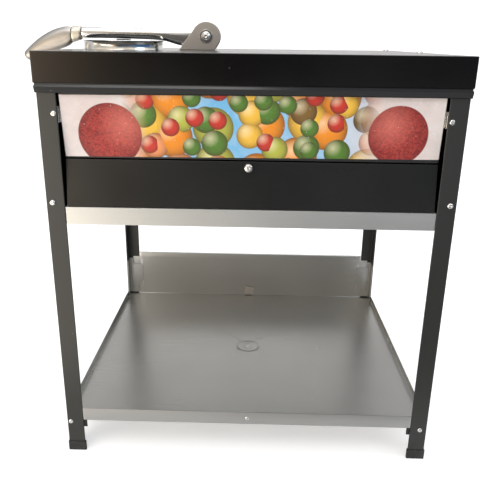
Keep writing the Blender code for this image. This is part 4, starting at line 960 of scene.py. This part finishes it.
# Pivot. A bright bolt with a domed, ring-turned head, a broad washer on each side of the fork and a hexagon
# nut behind; a bush inside the lever's boss turns on it.
washer_low, washer_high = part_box("pivot_washer_front")
washer_radius = (washer_high.x - washer_low.x) / 2
for end, axis in (("front", "-Y"), ("rear", "Y")):
    node = f"pivot_washer_{end}"
    low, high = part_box(node)
    start = high.y if axis == "-Y" else low.y
    thick = high.y - low.y
    ring = [(BOLT_HOLE, 0), (washer_radius, 0), (washer_radius, thick * 0.5), (washer_radius - 0.0008, thick),
            (0.0070, thick), (BOLT_HOLE, thick * 0.7)]
    washer = new_piece(f"{node}_ring", turned(ring, (pivot_x, start, pivot_z), axis, 72), plating, 40)
    attach(washer, "table", node)
bolt_low, bolt_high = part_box("pivot_bolt")
head = washer_low.y - 0.0003
dome = head - bolt_low.y
length = bolt_high.y - head
bolt_profile = [(0, 0.0014 - dome), (0.0012, 0.0012 - dome), (0.0022, 0.0002 - dome), (0.0034, -dome),
                (0.0044, 0.0004 - dome), (0.0050, 0.0014 - dome), (0.0057, 0.0017 - dome),
                (0.0064, 0.0013 - dome), (0.0078, 0.0020 - dome), (0.0090, 0.0034 - dome),
                (0.0095, 0.0052 - dome), (0.0095, -0.0004), (0.0090, 0), (0.0060, 0),
                (0.0060, length - 0.001), (0.0052, length), (0, length)]
bolt = new_piece("pivot_bolt_turned", turned(bolt_profile, (pivot_x, head, pivot_z), "Y", 64), plating, 40)
attach(bolt, "table", "pivot_bolt")
add_solid("pivot_nut", "hexagon", 0.0006, plating, "table")
bush = new_piece("pivot_bush_sleeve", softened("pivot_bush", 0.0002, 1), grate_steel, 40)
attach(bush, "lever", "pivot_bush")


# Lever arm. A cast aluminium bar, polished by hand to a soft shine. It is deepest where it leaves the
# fork, slims over the collar and ends in the band of the grip; a boss at its end turns on the pivot.
def polished_casting(name, colour, other, low, high):
    """Hand-polished aluminium: soft waves, cloudy shine and fine polishing lines along the bar."""
    material, tree, shader = new_material(name, colour, low, 1.0)
    cloud = marks(tree, 30.0)
    lines = marks(tree, 1.0, (20, 700, 700), 0.3, 0.7)
    tree.links.new(blend_colours(tree, cloud, (*colour, 1), (*other, 1)), shader.inputs["Base Color"])
    rough = calculate(tree, "ADD", spread(tree, cloud, low, high), spread(tree, lines, 0.0, 0.08))
    tree.links.new(rough, shader.inputs["Roughness"])
    waves = calculate(tree, "ADD", marks(tree, 24.0, (1, 2, 2)), spread(tree, lines, 0.0, 0.02))
    bump(tree, shader, waves, 0.00015)
    return material


OVAL_POWER = 0.88
RING_POINTS = 16


def oval_ring(bm, x, z, half_height, half_width, slope):
    """A softly squared ring across the lever, at a place along its line."""
    turn = Matrix.Rotation(-slope, 4, "Y") @ Matrix.Rotation(math.pi / 2, 4, "Y")
    size = Matrix.Diagonal((half_height, half_width, 1, 1))
    ring = bmesh.ops.create_circle(bm, segments=RING_POINTS, radius=1.0)["verts"]
    for vert in ring:
        flat = vert.co.xy
        vert.co.x = math.copysign(abs(flat.x) ** OVAL_POWER, flat.x)
        vert.co.y = math.copysign(abs(flat.y) ** OVAL_POWER, flat.y)
    bmesh.ops.transform(bm, matrix=Matrix.Translation((x, lever_y, z)) @ turn @ size, verts=ring)
    return ring


def lofted(stations):
    """A closed bar bridged through rings at its stations: x, z, half height, half width and slope."""
    bm = bmesh.new()
    rings = [oval_ring(bm, *station) for station in stations]
    for first, second in zip(rings, rings[1:]):
        edges = {edge for ring in (first, second) for vert in ring for edge in vert.link_edges
                 if edge.other_vert(vert) in ring}
        bmesh.ops.bridge_loops(bm, edges=list(edges))
    for ring in (rings[0], rings[-1]):
        bmesh.ops.contextual_create(bm, geom=ring)
    bmesh.ops.recalc_face_normals(bm, faces=bm.faces)
    return bm


def smoothed(bm, levels):
    """The bmesh after a subdivision surface."""
    obj = holder(bm)
    surface = obj.modifiers.new("Surface", "SUBSURF")
    surface.levels = levels
    surface.render_levels = levels
    return result_of([obj])


BUSH_HOLE = 0.0083
arm_low, arm_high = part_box("lever_arm")
table_z = top_high.z
ARM_FROM_PIVOT = ((-0.002, 0.0262, 0.0165, 0.0125), (-0.013, 0.0260, 0.0177, 0.0125),
                  (-0.027, 0.0258, 0.0186, 0.0125), (-0.052, 0.0252, 0.0183, 0.0125),
                  (-0.069, 0.0272, 0.0150, 0.0125), (-0.087, 0.0294, 0.0116, 0.0124),
                  (-0.115, 0.0301, 0.0108, 0.0122), (-0.165, 0.0307, 0.0106, 0.0118),
                  (-0.223, 0.0314, 0.0104, 0.0115), (-0.2535, 0.0312, 0.0107, 0.0115),
                  (-0.2546, 0.0312, 0.0106, 0.0114))
stations = [(pivot_x + x, table_z + z, tall, wide, 0.0) for x, z, tall, wide in ARM_FROM_PIVOT]
bm = smoothed(lofted(stations), 2)
boss_half = (arm_high.y - arm_low.y) / 2
boss_profile = [(0, 0), (0.0192, 0), (0.0200, 0.0008), (0.0200, 2 * boss_half - 0.0008),
                (0.0192, 2 * boss_half), (0, 2 * boss_half)]
bm = cut_away(bm, turned(boss_profile, (pivot_x, lever_y - boss_half, pivot_z), "Y", 64), "UNION")
bm = cut_away(bm, disc(BUSH_HOLE, (pivot_x, lever_y - 0.02, pivot_z), 0.04, "Y", 48))
arm_mat = polished_casting("arm_aluminium", (0.78, 0.78, 0.77), (0.70, 0.70, 0.70), 0.08, 0.16)
arm = new_piece("lever_arm_casting", bm, arm_mat, 40)
attach(arm, "lever", "lever_arm")


# Band and grip. A pale plated ferrule closes the arm, and the grip is a second polished casting that
# bends down past the edge of the table and swells to fill the hand.
band_low, band_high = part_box("lever_collar")
BAND_LINE = ((0.0, 0.0310, 0.0112, 0.0115), (0.0006, 0.0309, 0.0124, 0.0124),
             (0.0022, 0.0306, 0.0136, 0.0130), (0.0090, 0.0293, 0.0146, 0.0133),
             (0.0172, 0.0279, 0.0159, 0.0136), (0.0188, 0.0276, 0.0157, 0.0134),
             (0.0194, 0.0274, 0.0146, 0.0126))
stations = [(band_high.x - along, table_z + rise, tall, wide, 0.0) for along, rise, tall, wide in BAND_LINE]
band_mat = plated("band_plating", (0.66, 0.62, 0.54), 0.34, 0.48)
band = new_piece("lever_band", smoothed(lofted(stations), 1), band_mat, 40)
attach(band, "lever", "lever_collar")

GRIP_LENGTH = 0.0996
GRIP_STEPS = 12
GRIP_FIRST, GRIP_LAST = math.radians(13), math.radians(36)
GRIP_WIDE = 0.0130
x, z = band_low.x - 0.0003, table_z + 0.0268
stations = []
for i in range(GRIP_STEPS + 1):
    share = i / GRIP_STEPS
    slope = GRIP_FIRST + (GRIP_LAST - GRIP_FIRST) * share
    tall = 0.0155 + 0.0050 * math.sin(math.pi * share ** 0.6) - 0.0040 * share ** 2
    lean = slope * min(1, 4 * share)
    if i == 0:
        stations.append((x, z, tall * 0.92, GRIP_WIDE * 0.92, lean))
        stations.append((x - 0.0008, z, tall * 0.99, GRIP_WIDE * 0.98, lean))
    else:
        stations.append((x, z, tall, GRIP_WIDE, lean))
    x -= GRIP_LENGTH / GRIP_STEPS * math.cos(slope)
    z -= GRIP_LENGTH / GRIP_STEPS * math.sin(slope)
last_x, last_z, tall, wide, slope = stations[-1]
for reach, size in ((0.0036, 0.95), (0.0068, 0.80), (0.0090, 0.58), (0.0100, 0.32)):
    place = (last_x - reach * math.cos(slope), last_z - reach * math.sin(slope))
    stations.append((*place, tall * size, wide * size, slope))
grip_mat = polished_casting("grip_aluminium", (0.45, 0.42, 0.38), (0.38, 0.36, 0.34), 0.26, 0.40)
grip = new_piece("lever_grip_casting", smoothed(lofted(stations), 2), grip_mat, 60)
attach(grip, "lever", "lever_grip")


# Press. Aluminium castings, coloured near black: painted shade for the shadow under the arm. The yoke is
# screwed under the arm and holds a pin, the round plate hangs on it by a lug, and its spikes break the ice
# against the blades when the lever comes down.
press_shade_mat = polished_casting("press_aluminium_shade_dark", (0.10, 0.10, 0.10), (0.07, 0.07, 0.07), 0.36, 0.50)
add_solid("press_yoke", "part", 0.0008, press_shade_mat, "lever")
add_solid("press_pin", "part", 0.0004, plating, "lever")
add_solid("press_lug", "part", 0.0008, press_shade_mat, "press")
plate_low, plate_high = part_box("press_plate")
plate_radius = (plate_high.x - plate_low.x) / 2
PLATE_THICK = 0.005
plate_bottom = plate_high.z - PLATE_THICK
plate_profile = [(0, plate_bottom), (plate_radius - 0.0015, plate_bottom),
                 (plate_radius - 0.0005, plate_bottom + 0.0005), (plate_radius, plate_bottom + 0.0015),
                 (plate_radius, plate_high.z - 0.0008), (plate_radius - 0.0008, plate_high.z),
                 (0, plate_high.z)]
bm = turned(plate_profile, (hopper_x, lever_y, 0), "Z", 96)
SPIKE_ROWS = 6
ROW_PITCH = 0.018
SPIKE_PITCH = 0.022
spike_tip = plate_low.z - plate_bottom
spike_profile = [(0, 0.0006), (0.0052, 0.0006), (0.0045, -0.0008), (0.0014, spike_tip + 0.0006),
                 (0.0006, spike_tip), (0, spike_tip)]
for row in range(SPIKE_ROWS):
    offset = (row - (SPIKE_ROWS - 1) / 2) * ROW_PITCH
    count = 5 if abs(offset) < 0.03 else 3
    for i in range(count):
        x = hopper_x + (i - (count - 1) / 2) * SPIKE_PITCH
        spike = turned(spike_profile, (x, lever_y + offset, plate_bottom), "Z", 20)
        spike_mesh = bpy.data.meshes.new("spike")
        spike.to_mesh(spike_mesh)
        spike.free()
        bm.from_mesh(spike_mesh)
        bpy.data.meshes.remove(spike_mesh)
plate = new_piece("press_plate_casting", bm, press_shade_mat, 40)
attach(plate, "press", "press_plate")


# Small fasteners. Plated blind rivets through the webs of the legs hold the panels and the shelf, two
# larger heads sit near the right edge of the work top, and tiny ones show on the shelf's sides, lip and
# floor. Each kind is given by its radius, its height and the radius of its hollow.
BLIND_RIVET = (0.0046, 0.0020, 0.0013)
TOP_RIVET = (0.0066, 0.0042, 0.0016)
SMALL_BOLT = (0.0030, 0.0012, 0.0009)
SIDE_INSET, REAR_INSET = 0.018, 0.016
TOP_RIVET_X = 0.3927
leg_outer_left = leg_left[0].x
leg_outer_right = leg_right[1].x
leg_back = leg_right[1].y
for hand, x, axis in (("left", leg_outer_left, "-X"), ("right", leg_outer_right, "X")):
    for depth, y in (("front", leg_left[0].y + SIDE_INSET), ("rear", leg_back - SIDE_INSET)):
        for height in (0.668, 0.505, 0.077):
            name = f"side_rivet_{depth}_{hand}_{round(height * 1000)}"
            add_rivet(name, (x, y, height), axis, *BLIND_RIVET)
for hand, x in (("left", leg_outer_left + REAR_INSET), ("right", leg_outer_right - REAR_INSET)):
    for height in (0.668, 0.505, 0.173):
        add_rivet(f"rear_rivet_{hand}_{round(height * 1000)}", (x, leg_back, height), "Y", *BLIND_RIVET)
for name, y in (("top_rivet_rear", 0.285), ("top_rivet_middle", -0.035)):
    add_rivet(name, (TOP_RIVET_X, y, top_high.z), "Z", *TOP_RIVET)
flange_inside = tray_high.x - TRAY_SHEET
for name, place, axis in (("flange_bolt_right_1", (flange_inside, 0.035, 0.0790), "-X"),
                          ("flange_bolt_right_2", (flange_inside, -0.005, 0.0785), "-X"),
                          ("flange_bolt_left", (tray_low.x + TRAY_SHEET, 0.262, 0.0785), "X"),
                          ("lip_corner_bolt", (0.338, front_y, 0.0900), "-Y"),
                          ("floor_rivet", (0.2275, -0.004, FLOOR_TOP), "Z")):
    add_rivet(name, place, axis, *SMALL_BOLT)
